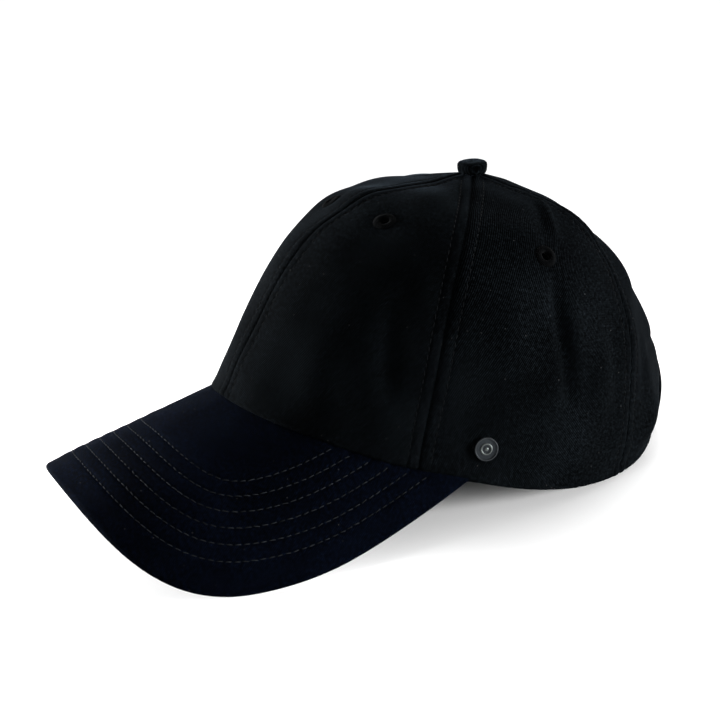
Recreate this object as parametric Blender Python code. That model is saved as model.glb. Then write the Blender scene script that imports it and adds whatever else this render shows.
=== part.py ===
"""A six-panel baseball cap with a curved bill, resting on a table.

The table is the plane z = 0. The wearer faces -Y and +X is the wearer's left. The vertical
axis passes through the centre of the head opening. Lengths are in metres, angles in degrees.
"""

import math

import bmesh
import bpy
import numpy as np
from mathutils import Matrix, Vector

MM = 0.001
GAP = 0.3 * MM  # left between pieces that touch

# Head opening: two half ellipses that meet at the sides.
RIM_FRONT = 105.4 * MM
RIM_REAR = 105.0 * MM
RIM_SIDE = 78.0 * MM
RIM_FLAT_ANGLE = 140.0  # from here to the back the rim lies on the table
RIM_FALL_POWER = 1.8

# Crown profile at the front, the side and the rear.
CROWN_LEAN = (-14.2, -5.2, 17.8)
CROWN_RISE = (57.1 * MM, 53.6 * MM, 34.9 * MM)
SHOULDER_RADIUS = (74.9 * MM, 84.3 * MM, 71.2 * MM)
SHOULDER_HEIGHT = (135.6 * MM, 123.2 * MM, 99.7 * MM)
TOP_SLOPE = (2.5, 13.2, 14.5)
TOP_REACH = (40.3 * MM, 48.6 * MM, 30.3 * MM)
APEX_HEIGHT = 126.5 * MM
APEX_BACK = 20.5 * MM
TENT_DEPTH = 0.7 * MM
TENT_RADIUS = 34.0 * MM

# Seams between the panels: angle at the rim and how far it drifts by the apex.
FRONT_SIDE_SEAM = (51.5, 5.5)
SIDE_REAR_SEAM = (123.5, 0.5)
CENTRE_FRONT = (0.0, 0.0)
CENTRE_REAR = (180.0, 0.0)

# Bill: a sheet bent round an axis that runs fore and aft, and pitched down forwards.
BILL_BEND_RADIUS = 82.6 * MM
BILL_PITCH = 15.25
BILL_LENGTH = 72.7 * MM
BILL_FRONT_HEIGHT = 51.7 * MM  # where its top face meets the crown's centre front
BILL_HALF_ANGLE = 66.7
BILL_FRONT_HANDLE = 94.7 * MM
BILL_CORNER = (103.8 * MM, -115.8 * MM)
BILL_CLOTH = 0.6 * MM
BILL_BOARD = 1.6 * MM
BILL_LIP = 0.9 * MM
BILL_COLUMNS = 24
BILL_ROWS = 5
COLUMN_BUNCHING = 0.35  # how far the columns crowd towards the sharply curved corners
BILL_THICKNESS = 2 * BILL_CLOTH + BILL_BOARD + 2 * GAP
STITCH_ROWS = 6
FIRST_ROW_INSET = 12.0 * MM
ROW_PITCH = 6.1 * MM
THREAD_RADIUS = 0.3 * MM
ROW_POINTS = 27

BILL_CLEARANCE = 0.9 * MM
CLEARANCE_FADE = 6.0  # degrees past the bill over which the clearance closes
CLOTH = 1.0 * MM
PANEL_ROWS = 14
PANEL_COLUMNS = {"front": 9, "side": 11}
TAPE_WIDTH = 10.0 * MM
TAPE_THICKNESS = 0.6 * MM
TAPE_DEPTH = CLOTH + GAP + 0.1 * MM
TAPE_RIM_CLEARANCE = 4.0 * MM
TAPE_MITRE = 26.0
TAPE_ROWS = 12

# Sweatband: it stands further in at the back, where the strap passes behind it.
SWEATBAND_HEIGHT = 32.0 * MM
SWEATBAND_THICKNESS = 1.2 * MM
SWEATBAND_DEPTH = 2.2 * MM
SWEATBAND_REAR_DEPTH = 6.2 * MM
SWEATBAND_SKIRT = 3.0 * MM
TUCK_DEPTH = 1.9 * MM

# Opening at the back and its binding.
ARCH_HALF_WIDTH = 38.0 * MM
ARCH_HEIGHT = 47.0 * MM
BINDING_WIDTH = 5.0 * MM
BINDING_THICKNESS = 0.7 * MM
BINDING_GAP = 0.4 * MM

# Strap: a band cut from a cone whose vertical axis is the strap's centre of travel.
STRAP_AXIS_Y = 40.0 * MM
STRAP_RADIUS = 62.0 * MM
STRAP_LEAN = 7.0
STRAP_WIDTH = 20.0 * MM
STRAP_MID_HEIGHT = 13.0 * MM
STRAP_THICKNESS = 1.0 * MM
STRAP_SEWN_END = -60.0 * MM
STRAP_FREE_END = 34.0 * MM
SHORT_STRAP_OFFSET = 1.5 * MM
SHORT_STRAP_END = 57.0 * MM
BUCKLE_PLACE = 9.0 * MM

# Buckle, in its own axes: x along the strap, y outwards, z up the strap's width.
SLEEVE_HALF_LENGTH = 7.0 * MM
SLEEVE_HALF_WIDTH = 11.6 * MM
BUCKLE_WALL = 0.8 * MM
SLEEVE_BACK = -2.3 * MM
SLEEVE_FRONT = 1.8 * MM
PIN_PLACE = (5.5 * MM, 3.7 * MM)
PIN_RADIUS = 0.7 * MM
PIN_HOLE_RADIUS = 0.95 * MM
KNUCKLE_RADIUS = 1.5 * MM
BAR_PLACE = (10.9 * MM, 3.0 * MM)
BAR_RADIUS = 0.8 * MM
LEVER_HALF_WIDTH = 10.3 * MM
LEVER_THICKNESS = 1.0 * MM
LEVER_LENGTH = 15.0 * MM

# Ventilation eyelets: angle round the crown and place up the panel.
EYELETS = {"front": (22.0, 0.551), "side": (86.8, 0.5415), "rear": (152.0, 0.56)}
EYELET_RADIUS = 4.7 * MM
EYELET_HUB_RADIUS = 2.6 * MM
EYELET_HOLE_RADIUS = 1.8 * MM

BADGE = (69.8, 0.048)
BADGE_RADIUS = 4.9 * MM
BADGE_POST_RADIUS = 0.8 * MM
BADGE_HOLE_RADIUS = 1.1 * MM

APEX_HOLE_RADIUS = 2.4 * MM
BUTTON_RADIUS = 6.6 * MM
BUTTON_HEIGHT = 5.1 * MM
SHANK_RADIUS = 1.4 * MM

LABEL_ANGLES = (138.0, 150.0)
LABEL_HEIGHTS = (7.0 * MM, 31.0 * MM)
LABEL_THICKNESS = 0.5 * MM

ROUND_STEPS = 16

BLACK = (0.012, 0.013, 0.014)
NAVY_BLACK = (0.01, 0.012, 0.02)


# ---------------------------------------------------------------- crown surface


def around(theta, values):
    """Blend front, side and rear values smoothly round the crown."""
    front, side, rear = values
    mean = (front + rear + 2 * side) / 4
    lengthwise = (front - rear) / 2
    crosswise = (front + rear - 2 * side) / 4
    return mean + lengthwise * np.cos(theta) + crosswise * np.cos(2 * theta)


def rim_radius(theta):
    """Distance from the head opening's centre to its edge, seen from above."""
    length = np.where(np.cos(theta) > 0, RIM_FRONT, RIM_REAR)
    return 1 / np.sqrt((np.cos(theta) / length) ** 2 + (np.sin(theta) / RIM_SIDE) ** 2)


def bill_height(x, y):
    """Height of the bill's top face above a point of the table."""
    x = np.clip(np.abs(x), 0, 0.999 * BILL_BEND_RADIUS)
    drop = BILL_BEND_RADIUS - np.sqrt(BILL_BEND_RADIUS**2 - x**2)
    return BILL_FRONT_HEIGHT - drop + (y + RIM_FRONT) * math.tan(math.radians(BILL_PITCH))


def rim_height(theta):
    """Height of the crown's lower edge: on the bill, then falling to the table."""
    angle = np.abs(theta)
    end = math.radians(BILL_HALF_ANGLE)
    radius = rim_radius(angle)
    on_bill = bill_height(radius * np.sin(angle), -radius * np.cos(angle))
    corner = rim_radius(end)
    corner_height = bill_height(corner * math.sin(end), -corner * math.cos(end))
    fall = np.clip((angle - end) / (math.radians(RIM_FLAT_ANGLE) - end), 0, 1)
    return np.where(angle < end, on_bill, corner_height * (1 - fall) ** RIM_FALL_POWER)


def crown_profile(theta, t):
    """Radius and height at t, from 0 at the rim to 1 at the apex: a quartic Bezier curve."""
    rim, base = rim_radius(theta), rim_height(theta)
    lean, slope = np.radians(around(theta, CROWN_LEAN)), np.radians(around(theta, TOP_SLOPE))
    rise, reach = around(theta, CROWN_RISE), around(theta, TOP_REACH)
    radii = (
        rim,
        rim + rise * np.sin(lean),
        around(theta, SHOULDER_RADIUS),
        reach * np.cos(slope),
        0 * rim,
    )
    heights = (
        base,
        base + rise * np.cos(lean),
        around(theta, SHOULDER_HEIGHT),
        APEX_HEIGHT - reach * np.sin(slope),
        APEX_HEIGHT + 0 * rim,
    )
    weights = [math.comb(4, i) * (1 - t) ** (4 - i) * t**i for i in range(5)]
    radius = sum(weight * value for weight, value in zip(weights, radii))
    height = sum(weight * value for weight, value in zip(weights, heights))
    return radius, height


def crown_point(theta, t):
    """Point of the crown's outer face. theta is 0 at the front and grows to the wearer's left."""
    theta, t = np.broadcast_arrays(np.asarray(theta, float), np.asarray(t, float))
    radius, height = crown_profile(theta, t)
    base = rim_height(theta)
    back = APEX_BACK * (height - base) / (APEX_HEIGHT - base)
    inside = np.clip(1 - radius / TENT_RADIUS, 0, 1)
    height = height + TENT_DEPTH * inside**2
    return np.stack([np.sin(theta) * radius, back - np.cos(theta) * radius, height], -1)


def crown_normal(theta, t):
    step = 1e-3
    across = crown_point(theta + step, t) - crown_point(theta - step, t)
    up = crown_point(theta, t + step) - crown_point(theta, t - step)
    normal = np.cross(across, up)
    return normal / np.linalg.norm(normal, axis=-1, keepdims=True)


def crown_layer(theta, t, depth):
    """Point at a depth under the crown's outer face."""
    depth = np.asarray(depth)[..., None]
    return crown_point(theta, t) - depth * crown_normal(theta, t)


def solve(function, low, high, target):
    """Where a function that grows from low to high takes the target value."""
    low, high = np.broadcast_arrays(low, high, np.asarray(target, float))[:2]
    low, high = low.astype(float), high.astype(float)
    for _ in range(40):
        middle = (low + high) / 2
        small = function(middle) < target
        low = np.where(small, middle, low)
        high = np.where(small, high, middle)
    return (low + high) / 2


def place_at_height(theta, height):
    return solve(lambda t: crown_point(theta, t)[..., 2], 0.0, 0.6, height)


def place_at_radius(theta, radius):
    return solve(lambda t: -crown_profile(theta, t)[0], 0.8, 1.0, -radius)


def seam_angle(seam, t):
    return np.radians(seam[0] + seam[1] * t)


# ---------------------------------------------------------------- bill surface


def bill_outline(s):
    """Flat pattern of the bill's outer edge, s from -1 at the right to 1 at the left."""
    end = math.radians(BILL_HALF_ANGLE)
    corner = rim_radius(end)
    corner_u = BILL_BEND_RADIUS * math.asin(corner * math.sin(end) / BILL_BEND_RADIUS)
    front = -(RIM_FRONT + BILL_LENGTH)
    points = (
        (0.0, front),
        (BILL_FRONT_HANDLE, front),
        BILL_CORNER,
        (corner_u, -corner * math.cos(end)),
    )
    q = np.abs(s)
    weights = [math.comb(3, i) * (1 - q) ** (3 - i) * q**i for i in range(4)]
    u = sum(weight * point[0] for weight, point in zip(weights, points))
    y = sum(weight * point[1] for weight, point in zip(weights, points))
    return np.sign(s) * u, y


def bill_inset(s, inset):
    """The outer edge moved inwards across the flat pattern."""
    step = 1e-4
    s = np.asarray(s, float)
    ahead, behind = bill_outline(np.clip(s + step, -1, 1)), bill_outline(np.clip(s - step, -1, 1))
    du, dy = ahead[0] - behind[0], ahead[1] - behind[1]
    length = np.hypot(du, dy)
    u, y = bill_outline(s)
    return u - inset * dy / length, y + inset * du / length


def bill_normal(u):
    slope = np.tan(u / BILL_BEND_RADIUS)
    normal = np.stack([slope, slope * 0 - math.tan(math.radians(BILL_PITCH)), slope * 0 + 1], -1)
    return normal / np.linalg.norm(normal, axis=-1, keepdims=True)


def bill_point(u, y, depth):
    """Bend a point of the flat pattern into place, at a depth under the bill's top face."""
    x = BILL_BEND_RADIUS * np.sin(u / BILL_BEND_RADIUS)
    top = np.stack([x, y, bill_height(x, y)], -1)
    return top - depth * bill_normal(u)


def bill_flat(x, y, depth):
    """The flat pattern's point that bends to a given point seen from above."""
    reach = 1.35 * BILL_BEND_RADIUS
    table = np.linspace(-reach, reach, 2001)
    normal = bill_normal(table)
    bent = BILL_BEND_RADIUS * np.sin(table / BILL_BEND_RADIUS) - depth * normal[:, 0]
    u = np.interp(x, bent, table)
    return u, y + depth * bill_normal(u)[..., 1]


def inside_rim(point):
    """How far a point lies inside the head opening's edge, seen from above."""
    theta = np.arctan2(point[..., 0], -point[..., 1])
    return rim_radius(theta) - np.hypot(point[..., 0], point[..., 1])


def bill_ends():
    """Where the outer edge runs in under the rim, on the lowest layer: edge place and angle."""
    end = solve(
        lambda q: inside_rim(bill_point(*bill_outline(q), BILL_THICKNESS)),
        0.7, 1.0, TUCK_DEPTH / 2,
    )
    corner = bill_point(*bill_outline(end), BILL_THICKNESS)
    return float(end), math.atan2(corner[0], -corner[1])


def bill_grid(depth, shares):
    """Rows of points from the outer edge (share 0) to the tucked inner edge (share 1).

    A share is a function of the sheet's width there, so that a margin keeps its size.
    """
    end, end_angle = bill_ends()
    even = np.linspace(-1, 1, BILL_COLUMNS + 1)
    s = even + COLUMN_BUNCHING * (np.sin(even * math.pi / 2) - even)
    outer_u, outer_y = bill_outline(s * end)
    theta = s * end_angle
    radius = rim_radius(theta) - TUCK_DEPTH
    inner_u, inner_y = bill_flat(radius * np.sin(theta), -radius * np.cos(theta), depth)
    width = np.hypot(inner_u - outer_u, inner_y - outer_y)
    share = np.stack([function(width) for function in shares], -1)
    u = outer_u[:, None] + (inner_u - outer_u)[:, None] * share
    y = outer_y[:, None] + (inner_y - outer_y)[:, None] * share
    return u, y


# ---------------------------------------------------------------- building tools


def clear_scene():
    for obj in list(bpy.data.objects):
        bpy.data.objects.remove(obj)


def material(name, color, roughness, metallic=0.0):
    made = bpy.data.materials.new(name)
    made.use_nodes = True
    shader = made.node_tree.nodes["Principled BSDF"]
    shader.inputs["Base Color"].default_value = (*color, 1.0)
    shader.inputs["Roughness"].default_value = roughness
    shader.inputs["Metallic"].default_value = metallic
    made.diffuse_color = (*color, 1.0)
    return made


def twill(name, color=BLACK):
    return material(name, color, 0.9)


def metal(name, color=(0.2, 0.2, 0.21)):
    return material(name, color, 0.35, 1.0)


def link(obj, parent=None):
    bpy.context.scene.collection.objects.link(obj)
    obj.parent = parent
    return obj


def add_mesh(name, points, faces, finish, origin=(0, 0, 0), parent=None):
    """An object from points given about its origin, smooth but for its sharp edges."""
    mesh = bpy.data.meshes.new(name)
    mesh.from_pydata([tuple(map(float, point)) for point in points], [], faces)
    made = bmesh.new()
    made.from_mesh(mesh)
    bmesh.ops.recalc_face_normals(made, faces=made.faces)
    made.to_mesh(mesh)
    made.free()
    mesh.shade_smooth()
    mesh.set_sharp_from_angle(angle=math.radians(40))
    if finish:
        mesh.materials.append(finish)
    obj = bpy.data.objects.new(name, mesh)
    obj.location = origin
    return link(obj, parent)


def helper(obj):
    """Mark an object as a cutter or a joining shape, which is no part of the model."""
    obj.hide_render = True
    obj.display_type = "WIRE"
    return obj


def boolean(obj, other, operation):
    modifier = obj.modifiers.new(operation.title(), "BOOLEAN")
    modifier.operation = operation
    modifier.solver = "EXACT"
    modifier.object = helper(other)


def sheet(front, back):
    """Points and faces of a closed sheet between two grids of the same size.

    Each cell is split along its shorter diagonal, the same way on both grids, so that
    sheets that lie close together bend along the same lines.
    """
    columns, rows = front.shape[:2]
    count = columns * rows
    index = np.arange(count).reshape(columns, rows)
    faces = []
    for i in range(columns - 1):
        for j in range(rows - 1):
            a, b, c, d = (
                int(corner)
                for corner in (index[i, j], index[i + 1, j], index[i + 1, j + 1], index[i, j + 1])
            )
            rising = np.linalg.norm(front[i + 1, j + 1] - front[i, j])
            falling = np.linalg.norm(front[i, j + 1] - front[i + 1, j])
            pair = [(a, b, c), (a, c, d)] if rising < falling else [(a, b, d), (b, c, d)]
            for triangle in pair:
                faces.append(triangle)
                faces.append(tuple(corner + count for corner in reversed(triangle)))
    edge = [*index[:-1, 0], *index[-1, :-1], *index[:0:-1, -1], *index[0, :0:-1]]
    for a, b in zip(edge, edge[1:] + edge[:1]):
        faces.append((int(b), int(a), int(a) + count, int(b) + count))
    points = np.concatenate([front.reshape(-1, 3), back.reshape(-1, 3)])
    return points, faces


def mirrored(points):
    return points * np.array([-1.0, 1.0, 1.0])


def turned(profile, steps=ROUND_STEPS):
    """Points and faces of a profile of (radius, height) pairs turned about the z axis.

    A profile that starts and ends on the axis is capped there; any other one is a ring.
    """
    capped = profile[0][0] == 0
    rings = profile[1:-1] if capped else profile
    points = [
        (r * math.cos(2 * math.pi * k / steps), r * math.sin(2 * math.pi * k / steps), z)
        for r, z in rings
        for k in range(steps)
    ]
    faces = []
    pairs = list(zip(range(len(rings)), range(1, len(rings))))
    if not capped:
        pairs.append((len(rings) - 1, 0))
    for a, b in pairs:
        for k in range(steps):
            n = (k + 1) % steps
            faces.append((a * steps + k, a * steps + n, b * steps + n, b * steps + k))
    if capped:
        for ring, (_, height) in ((0, profile[0]), (len(rings) - 1, profile[-1])):
            centre = len(points)
            points.append((0.0, 0.0, height))
            for k in range(steps):
                faces.append((ring * steps + k, ring * steps + (k + 1) % steps, centre))
    return points, faces


def block(name, low, high, finish=None, parent=None):
    """A box from its low corner to its high corner."""
    made = bmesh.new()
    bmesh.ops.create_cube(made, size=1.0)
    for vertex in made.verts:
        vertex.co = [
            low[axis] if vertex.co[axis] < 0 else high[axis] for axis in range(3)
        ]
    mesh = bpy.data.meshes.new(name)
    made.to_mesh(mesh)
    made.free()
    if finish:
        mesh.materials.append(finish)
    return link(bpy.data.objects.new(name, mesh), parent)


def rod(name, radius, low, high, centre=(0.0, 0.0), finish=None, parent=None):
    """A round rod along z from low to high."""
    points, faces = turned([(0, low), (radius, low), (radius, high), (0, high)])
    points = [(x + centre[0], y + centre[1], z) for x, y, z in points]
    return add_mesh(name, points, faces, finish, parent=parent)


def axes_at(point, normal):
    """Placement whose z axis is the normal and whose x axis is level."""
    z = Vector(normal).normalized()
    x = Vector((0, 0, 1)).cross(z).normalized()
    y = z.cross(x)
    return Matrix.Translation(Vector(point)) @ Matrix((x, y, z)).transposed().to_4x4()


def crown_axes(theta_degrees, t, side):
    theta = math.radians(theta_degrees)
    point, normal = crown_point(theta, t), crown_normal(theta, t)
    if side == "right":
        point, normal = mirrored(point), mirrored(normal)
    return axes_at(point, normal)


# ---------------------------------------------------------------- crown panels


def rim_clearance(theta):
    """Gap over the bill, which closes where the rim leaves the bill."""
    past = (np.degrees(np.abs(theta)) - BILL_HALF_ANGLE) / CLEARANCE_FADE
    return BILL_CLEARANCE * np.clip(1 - past, 0, 1)


def lowest_place(theta):
    """Where a panel starts on its way up: over the bill, or at the rear opening's edge."""
    height = rim_height(theta) + rim_clearance(theta)
    x = rim_radius(theta) * np.sin(theta)
    behind = np.cos(theta) < 0
    arch = ARCH_HEIGHT * np.sqrt(np.clip(1 - (x / ARCH_HALF_WIDTH) ** 2, 0, 1))
    height = np.where(behind, np.maximum(height, arch), height)
    free = height <= rim_height(theta) + 1e-9
    return np.where(free, 0.0, place_at_height(theta, height))


def panel_grids(seam_a, seam_b, shares):
    """Outer and inner grids of a panel between two seams."""
    base = seam_angle(seam_a, 0) + (seam_angle(seam_b, 0) - seam_angle(seam_a, 0)) * shares
    low = lowest_place(base)
    top_angle = seam_angle(seam_a, 1) + (seam_angle(seam_b, 1) - seam_angle(seam_a, 1)) * shares
    top = place_at_radius(top_angle, APEX_HOLE_RADIUS)
    t = low[:, None] + (top - low)[:, None] * np.linspace(0, 1, PANEL_ROWS + 1)[None, :]
    share = shares[:, None]
    theta = seam_angle(seam_a, t) * (1 - share) + seam_angle(seam_b, t) * share
    theta = theta + (GAP / 2 / crown_profile(theta, t)[0]) * (1 - 2 * share)
    outer, inner = crown_point(theta, t), crown_layer(theta, t, CLOTH)
    inner[:, 0, 2] = level_edge(theta[:, 0], outer[:, 0], inner[:, 0])
    return outer, inner


def level_edge(theta, outer, inner):
    """Height of a panel's inner lower edge, so that the edge lies parallel to what is under it."""
    over_bill = np.abs(theta) < math.radians(BILL_HALF_ANGLE + CLEARANCE_FADE)
    on_arch = outer[:, 2] > rim_height(theta) + 1.0 * MM
    rise = bill_height(inner[:, 0], inner[:, 1]) - bill_height(outer[:, 0], outer[:, 1])
    level = outer[:, 2] + np.where(over_bill, rise, 0)
    return np.where(on_arch, inner[:, 2], level)


def rear_shares():
    """Columns of a rear panel: even up to the opening, then bunched where its edge is steep."""
    start, end = math.radians(SIDE_REAR_SEAM[0]), math.pi
    steps = 10
    x = ARCH_HALF_WIDTH * np.cos(np.linspace(0, math.pi / 2, steps))
    y = RIM_REAR * np.sqrt(1 - (x / RIM_SIDE) ** 2)
    arch = math.pi - np.arctan2(x, y)
    plain = np.linspace(start, arch[0], 8)[:-1]
    return (np.concatenate([plain, arch]) - start) / (end - start)


def add_panel(name, seams, shares, side):
    outer, inner = panel_grids(*seams, shares)
    points, faces = sheet(outer, inner)
    if side == "right":
        points = mirrored(points)
    return add_mesh(name, points, faces, twill(name))


def cut_hole(panel, axes, radius):
    reach = 4 * MM
    cutter = rod(panel.name + "_hole", radius, -reach, reach)
    cutter.matrix_world = axes
    boolean(panel, cutter, "DIFFERENCE")


def add_eyelet(name, axes):
    """A sewn ring that grips the panel between two flanges."""
    profile = [
        (EYELET_HOLE_RADIUS, 0.8 * MM),
        (3.2 * MM, 1.1 * MM),
        (EYELET_RADIUS, 0.7 * MM),
        (EYELET_RADIUS, GAP),
        (EYELET_HUB_RADIUS, GAP),
        (EYELET_HUB_RADIUS, -1.5 * MM),
        (4.2 * MM, -1.5 * MM),
        (4.2 * MM, -2.0 * MM),
        (EYELET_HOLE_RADIUS, -2.0 * MM),
    ]
    points, faces = turned(profile)
    add_mesh(name, points, faces, twill(name, (0.016, 0.017, 0.018))).matrix_world = axes


def add_panels():
    even = {place: np.linspace(0, 1, count + 1) for place, count in PANEL_COLUMNS.items()}
    layout = {
        "front": ((CENTRE_FRONT, FRONT_SIDE_SEAM), even["front"]),
        "side": ((FRONT_SIDE_SEAM, SIDE_REAR_SEAM), even["side"]),
        "rear": ((SIDE_REAR_SEAM, CENTRE_REAR), rear_shares()),
    }
    for place, (seams, shares) in layout.items():
        for side in ("left", "right"):
            panel = add_panel(f"{place}_panel_{side}", seams, shares, side)
            axes = crown_axes(*EYELETS[place], side)
            cut_hole(panel, axes, EYELET_HUB_RADIUS + GAP)
            add_eyelet(f"eyelet_{place}_{side}", axes)
            if (place, side) == ("side", "left"):
                cut_hole(panel, crown_axes(*BADGE, side), BADGE_HOLE_RADIUS)


def add_seam_tape(name, seam, low_height, side):
    """Woven tape under a seam, mitred where all the tapes meet at the apex."""
    base = float(seam_angle(seam, 0))
    low = float(place_at_height(np.array(base), low_height))
    top = float(place_at_radius(np.array(float(seam_angle(seam, 1))), APEX_HOLE_RADIUS + 2 * MM))
    t = np.linspace(low, top, TAPE_ROWS + 1)
    middle = seam_angle(seam, t)
    radius = crown_profile(middle, t)[0] - TAPE_DEPTH
    half = np.minimum(TAPE_WIDTH / 2 / radius, math.radians(TAPE_MITRE) - GAP / radius)
    theta = middle[None, :] + half[None, :] * np.array([-1.0, 0.0, 1.0])[:, None]
    t = np.broadcast_to(t, theta.shape)
    outer = crown_layer(theta, t, TAPE_DEPTH)
    inner = crown_layer(theta, t, TAPE_DEPTH + TAPE_THICKNESS)
    points, faces = sheet(outer, inner)
    if side == "right":
        points = mirrored(points)
    add_mesh(name, points, faces, twill(name, (0.015, 0.015, 0.016)))


def add_seam_tapes():
    def above_rim(seam):
        return float(rim_height(seam_angle(seam, 0))) + TAPE_RIM_CLEARANCE

    add_seam_tape("seam_tape_front", CENTRE_FRONT, above_rim(CENTRE_FRONT), "left")
    over_arch = ARCH_HEIGHT + BINDING_WIDTH + 2 * MM
    add_seam_tape("seam_tape_rear", CENTRE_REAR, over_arch, "left")
    for side in ("left", "right"):
        add_seam_tape(f"seam_tape_front_{side}", FRONT_SIDE_SEAM, above_rim(FRONT_SIDE_SEAM), side)
        add_seam_tape(f"seam_tape_rear_{side}", SIDE_REAR_SEAM, above_rim(SIDE_REAR_SEAM), side)


# ---------------------------------------------------------------- top button and badge


def add_top_button():
    """Cloth-covered button, its rivet through the apex, and the washer inside."""
    origin = (0, APEX_BACK, APEX_HEIGHT + TENT_DEPTH)
    radius, top = BUTTON_RADIUS, GAP + BUTTON_HEIGHT
    cover = [
        (0, top),
        (0.45 * radius, top - 0.2 * MM),
        (0.8 * radius, top - 0.9 * MM),
        (radius, top - 2.3 * MM),
        (radius, GAP + 1.0 * MM),
        (0.93 * radius, GAP),
        (SHANK_RADIUS + GAP, GAP),
        (SHANK_RADIUS + GAP, GAP + 3.0 * MM),
        (0, GAP + 3.0 * MM),
    ]
    add_mesh("top_button", *turned(cover, 24), twill("top_button"), origin)
    washer_top = -4.3 * MM
    washer = [
        (SHANK_RADIUS + GAP, washer_top),
        (6.0 * MM, washer_top),
        (6.0 * MM, washer_top - 0.6 * MM),
        (SHANK_RADIUS + GAP, washer_top - 0.6 * MM),
    ]
    add_mesh("top_button_washer", *turned(washer, 24), metal("top_button_washer"), origin)
    head_top = washer_top - 0.6 * MM - GAP
    rivet = [
        (0, GAP + 2.7 * MM),
        (SHANK_RADIUS, GAP + 2.7 * MM),
        (SHANK_RADIUS, head_top),
        (3.0 * MM, head_top),
        (2.6 * MM, head_top - 0.8 * MM),
        (0, head_top - 0.9 * MM),
    ]
    add_mesh("top_button_rivet", *turned(rivet), metal("top_button_rivet"), origin)


def add_side_badge():
    """Small round badge whose post passes through the left side panel to a washer."""
    axes = crown_axes(*BADGE, "left")
    back = -(CLOTH + GAP)
    badge = [
        (0, GAP + 1.2 * MM),
        (4.3 * MM, GAP + 1.2 * MM),
        (4.6 * MM, GAP + 1.4 * MM),
        (BADGE_RADIUS, GAP + 0.9 * MM),
        (BADGE_RADIUS, GAP),
        (BADGE_POST_RADIUS, GAP),
        (BADGE_POST_RADIUS, back - 0.5 * MM),
        (0, back - 0.5 * MM),
    ]
    add_mesh("side_badge", *turned(badge, 24), metal("side_badge")).matrix_world = axes
    washer = [
        (BADGE_HOLE_RADIUS, back),
        (3.2 * MM, back),
        (3.2 * MM, back - 0.4 * MM),
        (BADGE_HOLE_RADIUS, back - 0.4 * MM),
    ]
    made = add_mesh("side_badge_washer", *turned(washer), metal("side_badge_washer"))
    made.matrix_world = axes


# ---------------------------------------------------------------- bill


def at_edge(width):
    return 0 * width


def margin(length, most):
    """A share that keeps its length across a wide sheet and shrinks with a narrow one."""
    return lambda width: np.minimum(length / width, most)


def spread(first, count):
    """Even shares from a margin to the inner edge."""
    return [
        lambda width, k=k: first(width) + (1 - first(width)) * k / count
        for k in range(1, count + 1)
    ]


def add_bill_layer(name, finish, shares, top_depth, under_depths):
    """One layer of the bill. under_depths gives the lower face's depth on each row."""
    u, y = bill_grid(top_depth, shares)
    top = bill_point(u, y, top_depth)
    u, y = bill_grid(under_depths[-1], shares)
    depths = np.asarray(under_depths)[None, :, None]
    under = bill_point(u, y, depths)
    points, faces = sheet(top, under)
    add_mesh(name, points, faces, finish)


def add_bill():
    """Top cloth with a lip over the board's edge, the board, and the under cloth."""
    board_top = BILL_CLOTH + GAP
    board_under = board_top + BILL_BOARD
    under_top = board_under + GAP
    lip, lip_root = margin(BILL_LIP, 0.35), margin(BILL_LIP + 0.1 * MM, 0.42)
    shares = [at_edge, lip, lip_root, *spread(lip_root, BILL_ROWS)]
    depths = [under_top - GAP] * 2 + [BILL_CLOTH] * (BILL_ROWS + 1)
    add_bill_layer("bill_top_cloth", twill("bill_top_cloth", NAVY_BLACK), shares, 0, depths)
    inset = margin(BILL_LIP + GAP, 0.6)
    shares = [inset, *spread(inset, BILL_ROWS)]
    plastic = material("bill_board", (0.5, 0.5, 0.48), 0.5)
    add_bill_layer("bill_board", plastic, shares, board_top, [board_under] * (BILL_ROWS + 1))
    shares = [at_edge, *spread(at_edge, BILL_ROWS)]
    depths = [under_top + BILL_CLOTH] * (BILL_ROWS + 1)
    under = twill("bill_under_cloth", NAVY_BLACK)
    add_bill_layer("bill_under_cloth", under, shares, under_top, depths)


def add_stitch_row(number):
    """One row of sewing thread parallel to the bill's edge, from rim to rim."""
    inset = FIRST_ROW_INSET + ROW_PITCH * number
    lift = -(GAP + THREAD_RADIUS)

    def outside(q):
        return inside_rim(bill_point(*bill_inset(q, inset), lift))

    end = float(solve(outside, 0.3, 0.99, -1.5 * MM))
    name = f"bill_stitch_row_{number + 1}"
    curve = bpy.data.curves.new(name, "CURVE")
    curve.dimensions = "3D"
    curve.bevel_depth = THREAD_RADIUS
    curve.bevel_resolution = 0
    curve.use_fill_caps = True
    path = bill_point(*bill_inset(np.linspace(-end, end, ROW_POINTS), inset), lift)
    spline = curve.splines.new("POLY")
    spline.points.add(len(path) - 1)
    for point, place in zip(spline.points, path):
        point.co = (*place, 1.0)
    curve.materials.append(twill(name, (0.05, 0.05, 0.055)))
    link(bpy.data.objects.new(name, curve))


# ---------------------------------------------------------------- sweatband and label


def sweatband_depth(theta):
    """Depth of the sweatband's outer face, growing towards the back."""
    share = np.clip((np.degrees(np.abs(theta)) - 110) / 22, 0, 1)
    share = share * share * (3 - 2 * share)
    return SWEATBAND_DEPTH + (SWEATBAND_REAR_DEPTH - SWEATBAND_DEPTH) * share


def opening_angle(half_width):
    """Angle round the crown at which the rim is this far from the centre plane."""
    return math.pi - math.atan2(half_width, RIM_REAR * math.sqrt(1 - (half_width / RIM_SIDE) ** 2))


def inner_grid(theta, heights, depth):
    """Grid on a layer under the crown, at heights above the rim."""
    base = rim_height(theta)
    t = np.stack([place_at_height(theta, base + height) for height in heights], -1)
    return crown_layer(theta[:, None] + 0 * t, t, depth[:, None])


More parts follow.
